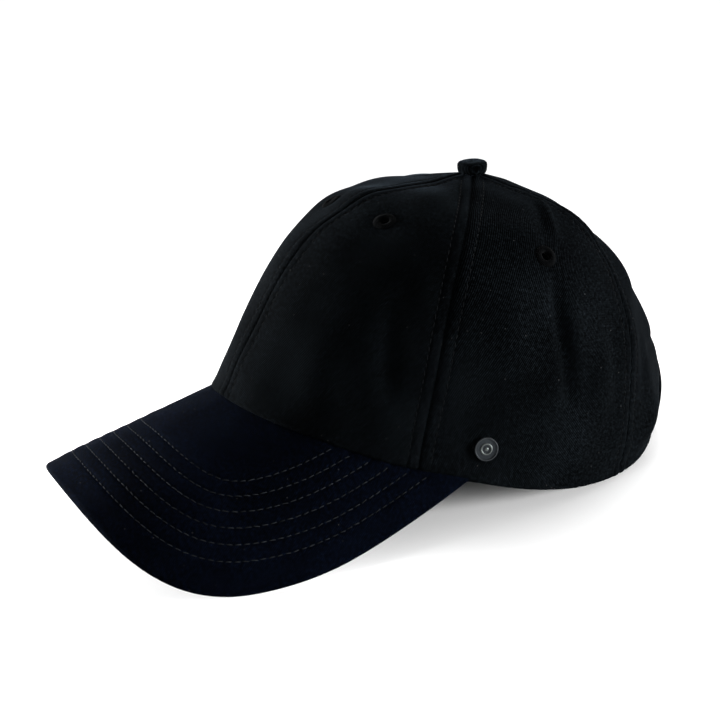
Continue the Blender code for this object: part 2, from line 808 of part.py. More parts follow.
def add_sweatband():
    """Band inside the rim. Over the bill a short skirt hangs in front of the bill's inner edge."""
    end = opening_angle(ARCH_HALF_WIDTH + 2.5 * MM)
    theta = np.linspace(-end, end, 53)
    heights = np.linspace(GAP, SWEATBAND_HEIGHT, 4)
    depth = sweatband_depth(theta)
    front = inner_grid(theta, heights, depth)
    back = inner_grid(theta, heights, depth + SWEATBAND_THICKNESS)
    past = (np.degrees(np.abs(theta)) - BILL_HALF_ANGLE - 2) / 8
    skirt = SWEATBAND_SKIRT * np.clip(1 - past, 0, 1)
    level = rim_height(theta) + GAP - skirt
    for grid in (front, back):
        grid[:, 0, 2] = level
    points, faces = sheet(front, back)
    add_mesh("sweatband", points, faces, twill("sweatband", (0.014, 0.014, 0.015)))


def add_care_label():
    theta = np.radians(np.linspace(*LABEL_ANGLES, 4))
    heights = np.linspace(*LABEL_HEIGHTS, 4)
    depth = sweatband_depth(theta) + SWEATBAND_THICKNESS + GAP
    front = inner_grid(theta, heights, depth)
    back = inner_grid(theta, heights, depth + LABEL_THICKNESS)
    points, faces = sheet(front, back)
    add_mesh("care_label", points, faces, material("care_label", (0.6, 0.6, 0.58), 0.7))


# ---------------------------------------------------------------- rear opening


def arch_point(angle, outwards, lift):
    """Point round the rear opening's edge: outwards along the crown, lift off its face."""
    x = (ARCH_HALF_WIDTH + outwards) * math.cos(angle)
    height = (ARCH_HEIGHT + outwards) * math.sin(angle)
    y = RIM_REAR * math.sqrt(1 - (x / RIM_SIDE) ** 2)
    theta = math.pi - math.atan2(x, y)
    t = float(place_at_height(np.array(theta), height))
    return crown_point(theta, t) + lift * crown_normal(theta, t)


def add_rear_binding():
    """Cloth binding folded round the opening's edge, a U in section."""
    steps = 26
    start = math.asin(0.4 * MM / ARCH_HEIGHT)
    outer = (BINDING_GAP, BINDING_GAP + BINDING_THICKNESS)
    inner = (-CLOTH - BINDING_GAP, -CLOTH - BINDING_GAP - BINDING_THICKNESS)
    section = [
        (-BINDING_GAP - BINDING_THICKNESS, outer[1]),
        (BINDING_WIDTH / 2, outer[1]),
        (BINDING_WIDTH, outer[1]),
        (BINDING_WIDTH, outer[0]),
        (-BINDING_GAP, outer[0]),
        (-BINDING_GAP, inner[0]),
        (BINDING_WIDTH, inner[0]),
        (BINDING_WIDTH, inner[1]),
        (BINDING_WIDTH / 2, inner[1]),
        (-BINDING_GAP - BINDING_THICKNESS, inner[1]),
    ]
    points, faces = [], []
    for k in range(steps + 1):
        angle = start + (math.pi - 2 * start) * k / steps
        points.extend(arch_point(angle, outwards, lift) for outwards, lift in section)
    count = len(section)
    for k in range(steps):
        for a in range(count):
            b = (a + 1) % count
            faces.append((k * count + a, k * count + b, (k + 1) * count + b, (k + 1) * count + a))
    faces.append(tuple(range(count)))
    faces.append(tuple(range(steps * count, (steps + 1) * count)))
    add_mesh("rear_binding", points, faces, twill("rear_binding"))


# ---------------------------------------------------------------- strap and buckle


def strap_grid(start, end, offset, steps):
    """Grid on the strap's cone, from arc length start to end, offset outwards."""
    lean = math.radians(STRAP_LEAN)
    arc = np.linspace(end, start, steps + 1)[:, None] / STRAP_RADIUS
    up = np.array([-0.5, 0.5])[None, :] * STRAP_WIDTH
    radius = STRAP_RADIUS + up * math.sin(lean) + offset * math.cos(lean)
    height = STRAP_MID_HEIGHT + up * math.cos(lean) - offset * math.sin(lean)
    return np.stack(
        [radius * np.sin(arc), radius * np.cos(arc), height + 0 * arc], -1
    )


def add_strap(name, start, end, offset, steps):
    """A strap whose origin is on the vertical axis that it slides about."""
    half = STRAP_THICKNESS / 2
    outer = strap_grid(start, end, offset + half, steps)
    inner = strap_grid(start, end, offset - half, steps)
    points, faces = sheet(outer, inner)
    return add_mesh(name, points, faces, twill(name), (0, STRAP_AXIS_Y, 0))


def buckle_axes():
    """Empty at the buckle: x along the strap to the wearer's left, y outwards, z up."""
    arc, lean = BUCKLE_PLACE / STRAP_RADIUS, math.radians(STRAP_LEAN)
    along = Vector((math.cos(arc), -math.sin(arc), 0))
    out_level = Vector((math.sin(arc), math.cos(arc), 0))
    up = out_level * math.sin(lean) + Vector((0, 0, 1)) * math.cos(lean)
    out = out_level * math.cos(lean) - Vector((0, 0, 1)) * math.sin(lean)
    place = Vector((0, STRAP_AXIS_Y, STRAP_MID_HEIGHT)) + out_level * STRAP_RADIUS
    empty = bpy.data.objects.new("buckle_axes", None)
    empty.matrix_world = Matrix.Translation(place) @ Matrix((along, out, up)).transposed().to_4x4()
    return link(empty)


def add_buckle_frame(axes):
    """A flat sleeve round the strap, ears for the lever's pin, and a bar for the short strap."""
    half, wide, wall = SLEEVE_HALF_LENGTH, SLEEVE_HALF_WIDTH, BUCKLE_WALL
    (bar_x, bar_y), (pin_x, pin_y) = BAR_PLACE, PIN_PLACE
    end, beyond = bar_x + 1.5 * MM, 1 * MM
    frame = block(
        "buckle_frame", (-half, SLEEVE_BACK, -wide), (end, SLEEVE_FRONT, wide),
        metal("buckle_frame"), axes,
    )
    ears = block("ears", (pin_x - 1.8 * MM, 0, -wide), (pin_x + 1.8 * MM, pin_y + 1.5 * MM, wide),
                 parent=axes)
    boolean(frame, ears, "UNION")
    bar_ends = block("bar_ends", (bar_x - 1.6 * MM, 0, -wide), (end, bar_y + 1.4 * MM, wide),
                     parent=axes)
    boolean(frame, bar_ends, "UNION")
    cuts = {
        "strap_way": ((-half - beyond, SLEEVE_BACK + wall, wall - wide),
                      (end + beyond, SLEEVE_FRONT - wall, wide - wall)),
        "above_sleeve": ((-half - beyond, SLEEVE_FRONT, wall - wide),
                         (half, pin_y + 3 * MM, wide - wall)),
        "round_bar": ((half, SLEEVE_BACK - beyond, wall - wide),
                      (end + beyond, bar_y + 4 * MM, wide - wall)),
        "window": ((-5.0 * MM, 0, 3 * wall - wide),
                   (2.0 * MM, SLEEVE_FRONT + beyond, wide - 3 * wall)),
    }
    for name, (low, high) in cuts.items():
        boolean(frame, block(name, low, high, parent=axes), "DIFFERENCE")
    hole = rod("pin_hole", PIN_HOLE_RADIUS, -wide - beyond, wide + beyond, PIN_PLACE, parent=axes)
    boolean(frame, hole, "DIFFERENCE")
    bar_end = wide - wall / 2
    boolean(frame, rod("strap_bar", BAR_RADIUS, -bar_end, bar_end, BAR_PLACE, parent=axes), "UNION")


def add_buckle_pin(axes):
    head = SLEEVE_HALF_WIDTH + GAP
    profile = [
        (0, head + 0.5 * MM),
        (1.1 * MM, head + 0.4 * MM),
        (1.3 * MM, head),
        (PIN_RADIUS, head),
        (PIN_RADIUS, -head),
        (1.3 * MM, -head),
        (1.1 * MM, -head - 0.4 * MM),
        (0, -head - 0.5 * MM),
    ]
    pin = add_mesh("buckle_pin", *turned(profile), metal("buckle_pin"), parent=axes)
    pin.location = (*PIN_PLACE, 0)


def add_buckle_lever(axes):
    """Clasp lever with its origin on the pin: knuckle, plate, cam tooth and finger lip."""
    wide = LEVER_HALF_WIDTH
    plate_low = 2.3 * MM - PIN_PLACE[1]
    plate_high = plate_low + LEVER_THICKNESS
    knuckle = [(0, -wide), (KNUCKLE_RADIUS, -wide), (KNUCKLE_RADIUS, wide), (0, wide)]
    lever = add_mesh("buckle_lever", *turned(knuckle), metal("buckle_lever"), parent=axes)
    lever.location = (*PIN_PLACE, 0)
    tooth = -PIN_PLACE[0] - 2.5 * MM
    additions = {
        "lever_plate": ((-LEVER_LENGTH, plate_low, -wide), (-0.4 * MM, plate_high, wide)),
        "lever_tooth": ((tooth - 1.4 * MM, 1.1 * MM - PIN_PLACE[1], -7.5 * MM),
                        (tooth, plate_low + 0.4 * MM, 7.5 * MM)),
        "lever_lip": ((-LEVER_LENGTH - 0.9 * MM, plate_low, -wide / 2),
                      (-LEVER_LENGTH + 0.4 * MM, plate_high + 0.8 * MM, wide / 2)),
    }
    for name, (low, high) in additions.items():
        boolean(lever, block(name, low, high, parent=lever), "UNION")
    hole = rod("lever_hole", PIN_HOLE_RADIUS, -wide - MM, wide + MM, parent=lever)
    boolean(lever, hole, "DIFFERENCE")


def add_short_strap(axes):
    """Strap sewn inside the left edge of the opening, its end looped round the buckle's bar."""
    strap = add_strap(
        "strap_short", BUCKLE_PLACE + BAR_PLACE[0], SHORT_STRAP_END, SHORT_STRAP_OFFSET, 14
    )
    wide = STRAP_WIDTH / 2 - 0.2 * MM
    loop = BAR_RADIUS + GAP + 0.9 * MM
    boolean(strap, rod("strap_loop", loop, -wide, wide, BAR_PLACE, parent=axes), "UNION")
    eye = rod("strap_eye", BAR_RADIUS + GAP, -wide - MM, wide + MM, BAR_PLACE, parent=axes)
    boolean(strap, eye, "DIFFERENCE")


def add_rear_closure():
    add_rear_binding()
    axes = buckle_axes()
    add_strap("strap_long", STRAP_SEWN_END, STRAP_FREE_END, 0.0, 22)
    add_short_strap(axes)
    add_buckle_frame(axes)
    add_buckle_pin(axes)
    add_buckle_lever(axes)


def main():
    clear_scene()
    add_panels()
    add_seam_tapes()
    add_top_button()
    add_side_badge()
    add_bill()
    for number in range(STITCH_ROWS):
        add_stitch_row(number)
    add_sweatband()
    add_care_label()
    add_rear_closure()


main()
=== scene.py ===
import math

import bmesh
import bpy
import numpy as np
from mathutils import Matrix, Vector


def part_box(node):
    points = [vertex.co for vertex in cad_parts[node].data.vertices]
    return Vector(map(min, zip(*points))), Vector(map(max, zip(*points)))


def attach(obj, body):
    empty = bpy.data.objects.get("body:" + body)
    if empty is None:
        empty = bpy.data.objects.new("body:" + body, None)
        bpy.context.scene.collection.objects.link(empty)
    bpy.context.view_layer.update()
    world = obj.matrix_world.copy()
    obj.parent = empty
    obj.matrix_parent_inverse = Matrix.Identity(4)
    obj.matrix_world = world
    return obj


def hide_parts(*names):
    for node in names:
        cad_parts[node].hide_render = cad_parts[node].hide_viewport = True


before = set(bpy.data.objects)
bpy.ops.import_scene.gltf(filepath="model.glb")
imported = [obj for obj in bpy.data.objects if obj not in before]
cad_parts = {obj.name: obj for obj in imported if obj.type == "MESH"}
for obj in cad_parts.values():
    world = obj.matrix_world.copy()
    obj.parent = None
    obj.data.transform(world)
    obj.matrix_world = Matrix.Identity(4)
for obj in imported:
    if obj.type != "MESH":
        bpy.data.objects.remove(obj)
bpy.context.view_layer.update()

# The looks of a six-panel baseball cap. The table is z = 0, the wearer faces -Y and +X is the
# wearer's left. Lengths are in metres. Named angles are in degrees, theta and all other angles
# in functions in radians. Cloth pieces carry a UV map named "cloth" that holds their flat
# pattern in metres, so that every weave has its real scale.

MM = 0.001
CLOTH_MAP = "cloth"
SIDES = {"left": 1.0, "right": -1.0}
rng = np.random.default_rng(7)

# Head opening: two half ellipses that meet at the sides. The soft rim sags behind the bill's
# ends: from the first angle, in full at the second, and no more at the third.
RIM_FRONT = 105.4 * MM
RIM_REAR = 105.0 * MM
RIM_SIDE = 78.0 * MM
RIM_FLAT_ANGLE = 140.0
RIM_FALL_POWER = 1.8
RIM_SAG = 2.2 * MM
SAG_ANGLES = (58.0, 70.0, 135.0)

# Crown profile at the front, the side and the rear.
CROWN_LEAN = (-14.2, -5.2, 17.8)
CROWN_RISE = (57.1 * MM, 53.6 * MM, 34.9 * MM)
SHOULDER_RADIUS = (74.9 * MM, 84.3 * MM, 71.2 * MM)
SHOULDER_HEIGHT = (135.6 * MM, 123.2 * MM, 99.7 * MM)
TOP_SLOPE = (2.5, 13.2, 14.5)
TOP_REACH = (40.3 * MM, 48.6 * MM, 30.3 * MM)
APEX_HEIGHT = 126.5 * MM
APEX_BACK = 20.5 * MM
TENT_DEPTH = 0.7 * MM
TENT_RADIUS = 34.0 * MM
APEX_HOLE_RADIUS = 2.4 * MM

# Seams between the panels: angle at the rim and how far it drifts by the apex.
CENTRE_FRONT = (0.0, 0.0)
FRONT_SIDE_SEAM = (51.5, 5.5)
SIDE_REAR_SEAM = (123.5, 0.5)
CENTRE_REAR = (180.0, 0.0)

# Bill: a sheet bent round an axis that runs fore and aft, and pitched down forwards. It droops
# on the right, hangs a little at its left rear edge, and thins out where its ends run in.
BILL_BEND_RADIUS = 82.6 * MM
BILL_PITCH = 15.25
BILL_LENGTH = 72.7 * MM
BILL_FRONT_HEIGHT = 51.7 * MM
BILL_HALF_ANGLE = 66.7
BILL_FRONT_HANDLE = 94.7 * MM
BILL_CORNER = (103.8 * MM, -115.8 * MM)
BILL_DROOP = 3.3 * MM
DROOP_WIDTH = 74.0 * MM
DROOP_START = 90.0 * MM
DROOP_LENGTH = 55.0 * MM
DROOP_AT_FRONT = -0.3
EDGE_DROOP = 1.6 * MM
EDGE_DROOP_X = (42.0 * MM, 68.0 * MM)
EDGE_DROOP_Y = (-128.0 * MM, -88.0 * MM)
BILL_THICKNESS = 3.4 * MM
BILL_END_SHARE = 0.22
BILL_TAPER_Y = (-70.0 * MM, -36.0 * MM)
BILL_CLOTH = 0.6 * MM
BILL_COLUMNS = 280
BILL_ROWS = 120
BILL_EDGE_ROWS = 9
COLUMN_BUNCHING = 0.35
TUCK_DEPTH = 1.9 * MM
STITCH_ROWS = 6
FIRST_ROW_INSET = 12.0 * MM
ROW_PITCH = 6.1 * MM

# Panels: cloth with a doubled hem, whose folded edge is round, curls in and stands proud of
# the cloth above. The grid's rows crowd at the hem and its columns beside the seams.
CLOTH = 1.0 * MM
HEM_DEPTH = 1.1 * MM
HEM_HEIGHT = 6.0 * MM
HEM_RADIUS = 1.5 * MM
HEM_CURL = 2.1 * MM
HEM_PROUD = 1.0 * MM
HEM_PROUD_HEIGHT = 8.0 * MM
HEM_LIFT_HEIGHT = 9.0 * MM
HEM_STEPS = np.array([0, 0.12, 0.3, 0.55, 0.9, 1.4, 2.2, 3.2, 4.4]) * MM
PANEL_LENGTH = 140.0 * MM
PANEL_ROWS = 84
SEAM_STEPS = np.array([0, 0.3, 0.7, 1.2, 1.9, 2.7, 3.4, 4.0, 4.5, 4.9, 5.3, 5.9, 6.8, 8.0]) * MM
SEAM_STITCH = 4.9 * MM
THREAD_RADIUS = 0.2 * MM
EYELET_RADIUS = 4.7 * MM
EYELET_HOLE = 1.95 * MM
EYELET_CUT = 2.4 * MM
EYELET_THREADS = 46

TAPE_WIDTH = 10.0 * MM
TAPE_THICKNESS = 0.6 * MM
TAPE_DEPTH = 1.4 * MM
TAPE_RIM_CLEARANCE = 4.0 * MM
TAPE_MITRE = 26.0

GAP = 0.3 * MM
BAND_FREE_ANGLES = (110.0, 132.0)
BAND_STITCHES = (3.0 * MM, 28.5 * MM)
SWEATBAND_HEIGHT = 32.0 * MM
SWEATBAND_THICKNESS = 1.2 * MM
SWEATBAND_DEPTH = 2.2 * MM
SWEATBAND_REAR_DEPTH = 6.2 * MM
SWEATBAND_SKIRT = 3.0 * MM

ARCH_HALF_WIDTH = 38.0 * MM
ARCH_HEIGHT = 47.0 * MM
BINDING_WIDTH = 5.0 * MM
BINDING_THICKNESS = 0.7 * MM
BINDING_GAP = 0.4 * MM
LABEL_ANGLES = (138.0, 150.0)
LABEL_HEIGHTS = (7.0 * MM, 31.0 * MM)
LABEL_THICKNESS = 0.35 * MM

STRAP_AXIS_Y = 40.0 * MM
STRAP_RADIUS = 62.0 * MM
STRAP_LEAN = 7.0
STRAP_WIDTH = 20.0 * MM
STRAP_MID_HEIGHT = 13.0 * MM
STRAP_THICKNESS = 1.0 * MM
STRAP_SEWN_END = -60.0 * MM
STRAP_FREE_END = 34.0 * MM
STRAP_STITCH = 7.4 * MM
SHORT_STRAP_OFFSET = 1.5 * MM
SHORT_STRAP_END = 57.0 * MM
STRAP_BAR = (19.9 * MM, 3.0 * MM)
STRAP_BAR_RADIUS = 0.8 * MM

# Folds of the soft crown: a line of (angle, place up the panel) points, then in millimetres the
# height of the cloth's rise there (negative is a dent) and its half width.
FOLDS = [
    ([(35.5, 0.31), (38.8, 0.20), (41.5, 0.09)], -2.0, 4.6),
    ([(42.5, 0.45), (44.9, 0.36), (47.0, 0.26)], 1.3, 5.5),
    ([(88.6, 0.49), (89.7, 0.38), (93.0, 0.27), (97.0, 0.16)], -3.4, 3.1),
    ([(94.0, 0.47), (96.0, 0.36), (101.0, 0.24)], 0.9, 4.5),
    ([(121.0, 0.80), (104.0, 0.72), (95.5, 0.61)], 1.5, 1.9),
    ([(110.0, 0.80), (93.0, 0.68), (88.5, 0.58)], -1.3, 3.6),
    ([(71.5, 0.46), (74.7, 0.30), (79.0, 0.13)], 1.1, 8.0),
    ([(105.0, 0.38), (108.0, 0.26), (110.0, 0.12)], 0.9, 6.0),
    ([(112.5, 0.36), (115.5, 0.22), (117.0, 0.08)], -0.8, 4.0),
    ([(131.0, 0.36), (133.0, 0.20), (134.0, 0.06)], -0.8, 4.2),
    ([(138.0, 0.28), (150.0, 0.27), (160.0, 0.30)], -1.2, 4.0),
    ([(126.0, 0.88), (126.0, 0.74), (127.0, 0.58)], 2.2, 8.0),
    ([(136.0, 0.60), (137.0, 0.52), (138.0, 0.42)], 1.8, 7.0),
    ([(128.0, 0.02), (140.0, 0.10), (152.0, 0.14)], 2.6, 9.0),
    ([(-32.0, 0.36), (-37.5, 0.22), (-40.0, 0.10)], -1.5, 5.0),
    ([(-72.0, 0.46), (-76.0, 0.30), (-80.0, 0.12)], 1.0, 8.0),
    ([(-90.0, 0.50), (-92.0, 0.34), (-90.0, 0.18)], -1.9, 3.8),
    ([(-104.0, 0.40), (-108.0, 0.26), (-110.0, 0.12)], 0.8, 6.0),
    ([(-131.0, 0.38), (-134.0, 0.22), (-136.0, 0.08)], -0.9, 4.4),
    ([(-150.0, 0.44), (-158.0, 0.40), (-166.0, 0.42)], -0.8, 4.5),
]
EYELET_DENT = (-1.5 * MM, 7.5 * MM)
FOLD_FADE_HEIGHT = 12.0 * MM
FOLD_SHARE_AT_RIM = 0.15
FOLD_TOP = 0.88
WAVES = 10
WAVE_HEIGHT = 0.16 * MM


# ---- curves


def ramp(value, start, end):
    """0 before the start, 1 past the end and straight between them."""
    return np.clip((value - start) / (end - start), 0, 1)


def smooth(share):
    """The same rise from 0 to 1 with soft ends."""
    return share * share * (3 - 2 * share)


def bell(distance, width):
    return np.exp(-((distance / width) ** 2))


def bezier(controls, t):
    """Coordinates at t of the Bezier curve with these control points."""
    degree = len(controls) - 1
    weights = [math.comb(degree, i) * (1 - t) ** (degree - i) * t**i for i in range(degree + 1)]
    return [sum(weight * value for weight, value in zip(weights, values)) for values in zip(*controls)]


def lengths_along(line):
    """Length of a line from its start to each of its points."""
    return np.concatenate([[0], np.cumsum(np.linalg.norm(np.diff(line, axis=0), axis=-1))])


def unit(vectors):
    return vectors / np.linalg.norm(vectors, axis=-1, keepdims=True)


def solve(function, low, high, target):
    """Where a function that grows from low to high takes the target value."""
    low, high = np.broadcast_arrays(low, high, np.asarray(target, float))[:2]
    low, high = low.astype(float), high.astype(float)
    for _ in range(40):
        middle = (low + high) / 2
        small = function(middle) < target
        low = np.where(small, middle, low)
        high = np.where(small, high, middle)
    return (low + high) / 2


def slopes(surface, theta, t, step):
    """How a surface's point moves for each radian round it and each unit of place up it."""
    across = surface(theta + step, t) - surface(theta - step, t)
    up = surface(theta, t + step) - surface(theta, t - step)
    return across / (2 * step), up / (2 * step)


# ---- crown surface


def around(theta, values):
    """Blend front, side and rear values smoothly round the crown."""
    front, side, rear = values
    mean = (front + rear + 2 * side) / 4
    lengthwise = (front - rear) / 2
    crosswise = (front + rear - 2 * side) / 4
    return mean + lengthwise * np.cos(theta) + crosswise * np.cos(2 * theta)


def rim_radius(theta):
    """Distance from the head opening's centre to its edge, seen from above."""
    length = np.where(np.cos(theta) > 0, RIM_FRONT, RIM_REAR)
    return 1 / np.sqrt((np.cos(theta) / length) ** 2 + (np.sin(theta) / RIM_SIDE) ** 2)


def bill_height(x, y):
    """Height of the bill's top face above a point of the table."""
    x, y = np.asarray(x), np.asarray(y)
    side = np.sin(math.pi * ramp(-x, 0, DROOP_WIDTH))
    droop = BILL_DROOP * side * np.clip(1 + (y + DROOP_START) / DROOP_LENGTH, DROOP_AT_FRONT, 1)
    droop = droop + EDGE_DROOP * smooth(ramp(x, *EDGE_DROOP_X)) * smooth(ramp(y, *EDGE_DROOP_Y))
    x = np.clip(np.abs(x), 0, 0.999 * BILL_BEND_RADIUS)
    drop = BILL_BEND_RADIUS - np.sqrt(BILL_BEND_RADIUS**2 - x**2) + droop
    return BILL_FRONT_HEIGHT - drop + (y + RIM_FRONT) * math.tan(math.radians(BILL_PITCH))


def rim_height(theta):
    """Height of the crown's lower edge: on the bill, then falling to the table."""
    angle = np.abs(theta)
    end = math.radians(BILL_HALF_ANGLE)
    radius = rim_radius(angle)
    on_bill = bill_height(radius * np.sin(theta), -radius * np.cos(angle))
    corner = rim_radius(end)
    corner_height = bill_height(corner * math.sin(end), -corner * math.cos(end))
    fall = ramp(angle, end, math.radians(RIM_FLAT_ANGLE))
    height = np.where(angle < end, on_bill, corner_height * (1 - fall) ** RIM_FALL_POWER)
    return np.maximum(height - rim_sag(angle), 0)


def rim_sag(angle):
    """How far the soft rim hangs down behind the bill's ends."""
    start, full, end = SAG_ANGLES
    fade = ramp(np.degrees(angle), full, end)
    return RIM_SAG * smooth(ramp(np.degrees(angle), start, full)) * np.cos(fade * math.pi / 2)


def crown_profile(theta, t):
    """Radius and height at t, from 0 at the rim to 1 at the apex: a quartic Bezier curve."""
    rim, base = rim_radius(theta), rim_height(theta)
    lean, slope = np.radians(around(theta, CROWN_LEAN)), np.radians(around(theta, TOP_SLOPE))
    rise, reach = around(theta, CROWN_RISE), around(theta, TOP_REACH)
    controls = (
        (rim, base),
        (rim + rise * np.sin(lean), base + rise * np.cos(lean)),
        (around(theta, SHOULDER_RADIUS), around(theta, SHOULDER_HEIGHT)),
        (reach * np.cos(slope), APEX_HEIGHT - reach * np.sin(slope)),
        (0.0, APEX_HEIGHT),
    )
    return bezier(controls, t)


def crown_point(theta, t):
    """Point of the smooth outer face. theta is 0 at the front and grows to the wearer's left."""
    theta, t = np.broadcast_arrays(np.asarray(theta, float), np.asarray(t, float))
    radius, height = crown_profile(theta, t)
    base = rim_height(theta)
    back = APEX_BACK * (height - base) / (APEX_HEIGHT - base)
    height = height + TENT_DEPTH * ramp(radius, TENT_RADIUS, 0) ** 2
    return np.stack([np.sin(theta) * radius, back - np.cos(theta) * radius, height], -1)


def crown_normal(theta, t):
    return unit(np.cross(*slopes(crown_point, theta, t, 1e-3)))


def place_at_height(theta, height):
    return solve(lambda t: crown_point(theta, t)[..., 2], 0.0, 0.6, height)


def place_at_radius(theta, radius):
    return solve(lambda t: -crown_profile(theta, t)[0], 0.8, 1.0, -radius)


def seam_angle(seam, t):
    return np.radians(seam[0] + seam[1] * t)


def crown_place(point):
    """Angle and place up the crown nearest to a point, found on ever finer grids."""
    theta, t = np.meshgrid(np.linspace(-math.pi, math.pi, 361), np.linspace(0, 0.95, 96))
    span = np.array([math.pi / 180, 0.01])
    for _ in range(3):
        gap = np.linalg.norm(crown_point(theta, t) - np.array(point), axis=-1)
        best = np.unravel_index(np.argmin(gap), gap.shape)
        centre = np.array([theta[best], t[best]])
        theta, t = np.meshgrid(*(centre[:, None] + span[:, None] * np.linspace(-1, 1, 21)))
        span = span / 10
    return float(centre[0]), float(centre[1])


def node_place(node):
    """Angle and place up the crown of a node's middle."""
    low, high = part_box(node)
    return crown_place((low + high) / 2)


EYELETS = {
    (place, side): node_place(f"eyelet_{place}_{side}")
    for place in ("front", "side", "rear")
    for side in SIDES
}


# ---- folds of the cloth


def along_line(points, line):
    """Distance from each point to a polyline, and how far along it the nearest place is."""
    lengths = np.linalg.norm(np.diff(line, axis=0), axis=-1)
    starts = np.concatenate([[0], np.cumsum(lengths)[:-1]])
    best = np.full(points.shape[:-1], np.inf)
    share = np.zeros(points.shape[:-1])
    for start, end, length, before in zip(line[:-1], line[1:], lengths, starts):
        along = np.clip((points - start) @ (end - start) / length**2, 0, 1)
        gap = np.linalg.norm(points - (start + along[..., None] * (end - start)), axis=-1)
        share = np.where(gap < best, (before + along * length) / lengths.sum(), share)
        best = np.minimum(best, gap)
    return best, share


def smooth_line(corners):
    """A curve through a fold's few points, as points of the crown."""
    corners = np.array(corners)
    place = np.linspace(0, 1, len(corners))
    fine = np.linspace(0, 1, 13)
    fit = [np.polyval(np.polyfit(place, corners[:, k], len(corners) - 1), fine) for k in (0, 1)]
    return crown_point(np.radians(fit[0]), fit[1])


FOLD_LINES = [(smooth_line(corners), rise * MM, width * MM) for corners, rise, width in FOLDS]
WAVE_DIRECTIONS = unit(rng.normal(size=(WAVES, 3)))
WAVE_LENGTHS = rng.uniform(22, 48, WAVES) * MM
WAVE_PHASES = rng.uniform(0, 2 * math.pi, WAVES)


def fold_rise(theta, t):
    """How far the soft cloth stands off its smooth shape."""
    points = crown_point(theta, t)
    rise = np.zeros(points.shape[:-1])
    for line, height, width in FOLD_LINES:
        gap, share = along_line(points, line)
        fade = np.sin(np.clip(share, 0, 1) * math.pi) ** 0.6
        rise = rise + height * fade * bell(gap, width)
    for place in EYELETS.values():
        gap = np.linalg.norm(points - crown_point(*place), axis=-1)
        rise = rise + EYELET_DENT[0] * bell(gap, EYELET_DENT[1])
    for direction, length, phase in zip(WAVE_DIRECTIONS, WAVE_LENGTHS, WAVE_PHASES):
        rise = rise + WAVE_HEIGHT * np.sin(points @ direction * 2 * math.pi / length + phase)
    above_rim = ramp(points[..., 2] - rim_height(theta), 0, FOLD_FADE_HEIGHT)
    share = FOLD_SHARE_AT_RIM + (1 - FOLD_SHARE_AT_RIM) * above_rim
    return rise * share * ramp(t, 1, FOLD_TOP)


def crown_layer(theta, t, depth):
    """Point at a depth under the folded cloth's outer face."""
    depth = np.asarray(depth) - fold_rise(theta, t)
    return crown_point(theta, t) - depth[..., None] * crown_normal(theta, t)


def layer_normal(theta, t):
    """Outward direction of the folded cloth."""
    return unit(np.cross(*slopes(lambda theta, t: crown_layer(theta, t, 0), theta, t, 2e-3)))


# ---- bill surface


def bill_outline(s):
    """Flat pattern of the bill's outer edge, s from -1 at the right to 1 at the left."""
    end = math.radians(BILL_HALF_ANGLE)
    corner = rim_radius(end)
    corner_u = BILL_BEND_RADIUS * math.asin(corner * math.sin(end) / BILL_BEND_RADIUS)
    front = -(RIM_FRONT + BILL_LENGTH)
    points = (
        (0.0, front),
        (BILL_FRONT_HANDLE, front),
        BILL_CORNER,
        (corner_u, -corner * math.cos(end)),
    )
    u, y = bezier(points, np.abs(s))
    return np.sign(s) * u, y


def bill_inset(s, inset):
    """The outer edge moved inwards across the flat pattern."""
    step = 1e-4
    s = np.asarray(s, float)
    ahead, behind = bill_outline(s + step), bill_outline(s - step)
    du, dy = ahead[0] - behind[0], ahead[1] - behind[1]
    length = np.hypot(du, dy)
    u, y = bill_outline(s)
    return u - inset * dy / length, y + inset * du / length


def bill_normal(u):
    slope = np.tan(u / BILL_BEND_RADIUS)
    return unit(np.stack([slope, slope * 0 - math.tan(math.radians(BILL_PITCH)), slope * 0 + 1], -1))


def bill_point(u, y, depth):
    """Bend a point of the flat pattern into place, at a depth under the bill's top face."""
    x = BILL_BEND_RADIUS * np.sin(u / BILL_BEND_RADIUS)
    top = np.stack([x, y, bill_height(x, y)], -1)
    return top - np.asarray(depth)[..., None] * bill_normal(u)


def bill_taper(y):
    """Share of the bill's thickness, which shrinks where its ends run in under the rim."""
    return 1 - (1 - BILL_END_SHARE) * smooth(ramp(y, *BILL_TAPER_Y))


def bill_layer(flat, depth):
    """Points of the bill at a depth that shrinks with its thickness."""
    return bill_point(flat[..., 0], flat[..., 1], depth * bill_taper(flat[..., 1]))


def bill_flat(x, y, depth):
    """The flat pattern's point that bends to a given point seen from above, by correction."""
    u = BILL_BEND_RADIUS * np.arcsin(x / BILL_BEND_RADIUS)
    for _ in range(12):
        bent = (x + depth * bill_normal(u)[..., 0]) / BILL_BEND_RADIUS
        u = BILL_BEND_RADIUS * np.arcsin(np.clip(bent, -0.999, 0.999))
    return u, y + depth * bill_normal(u)[..., 1]


def inside_rim(point):
    """How far a point lies inside the head opening's edge, seen from above."""
    theta = np.arctan2(point[..., 0], -point[..., 1])
    return rim_radius(theta) - np.hypot(point[..., 0], point[..., 1])


def bill_ends():
    """Where the outer edge runs in under the rim: place on the edge and angle."""
    end = solve(lambda q: inside_rim(bill_point(*bill_outline(q), 0.0)), 0.9, 1.1, TUCK_DEPTH / 3)
    corner = bill_point(*bill_outline(end), 0.0)
    return float(end), math.atan2(corner[0], -corner[1])


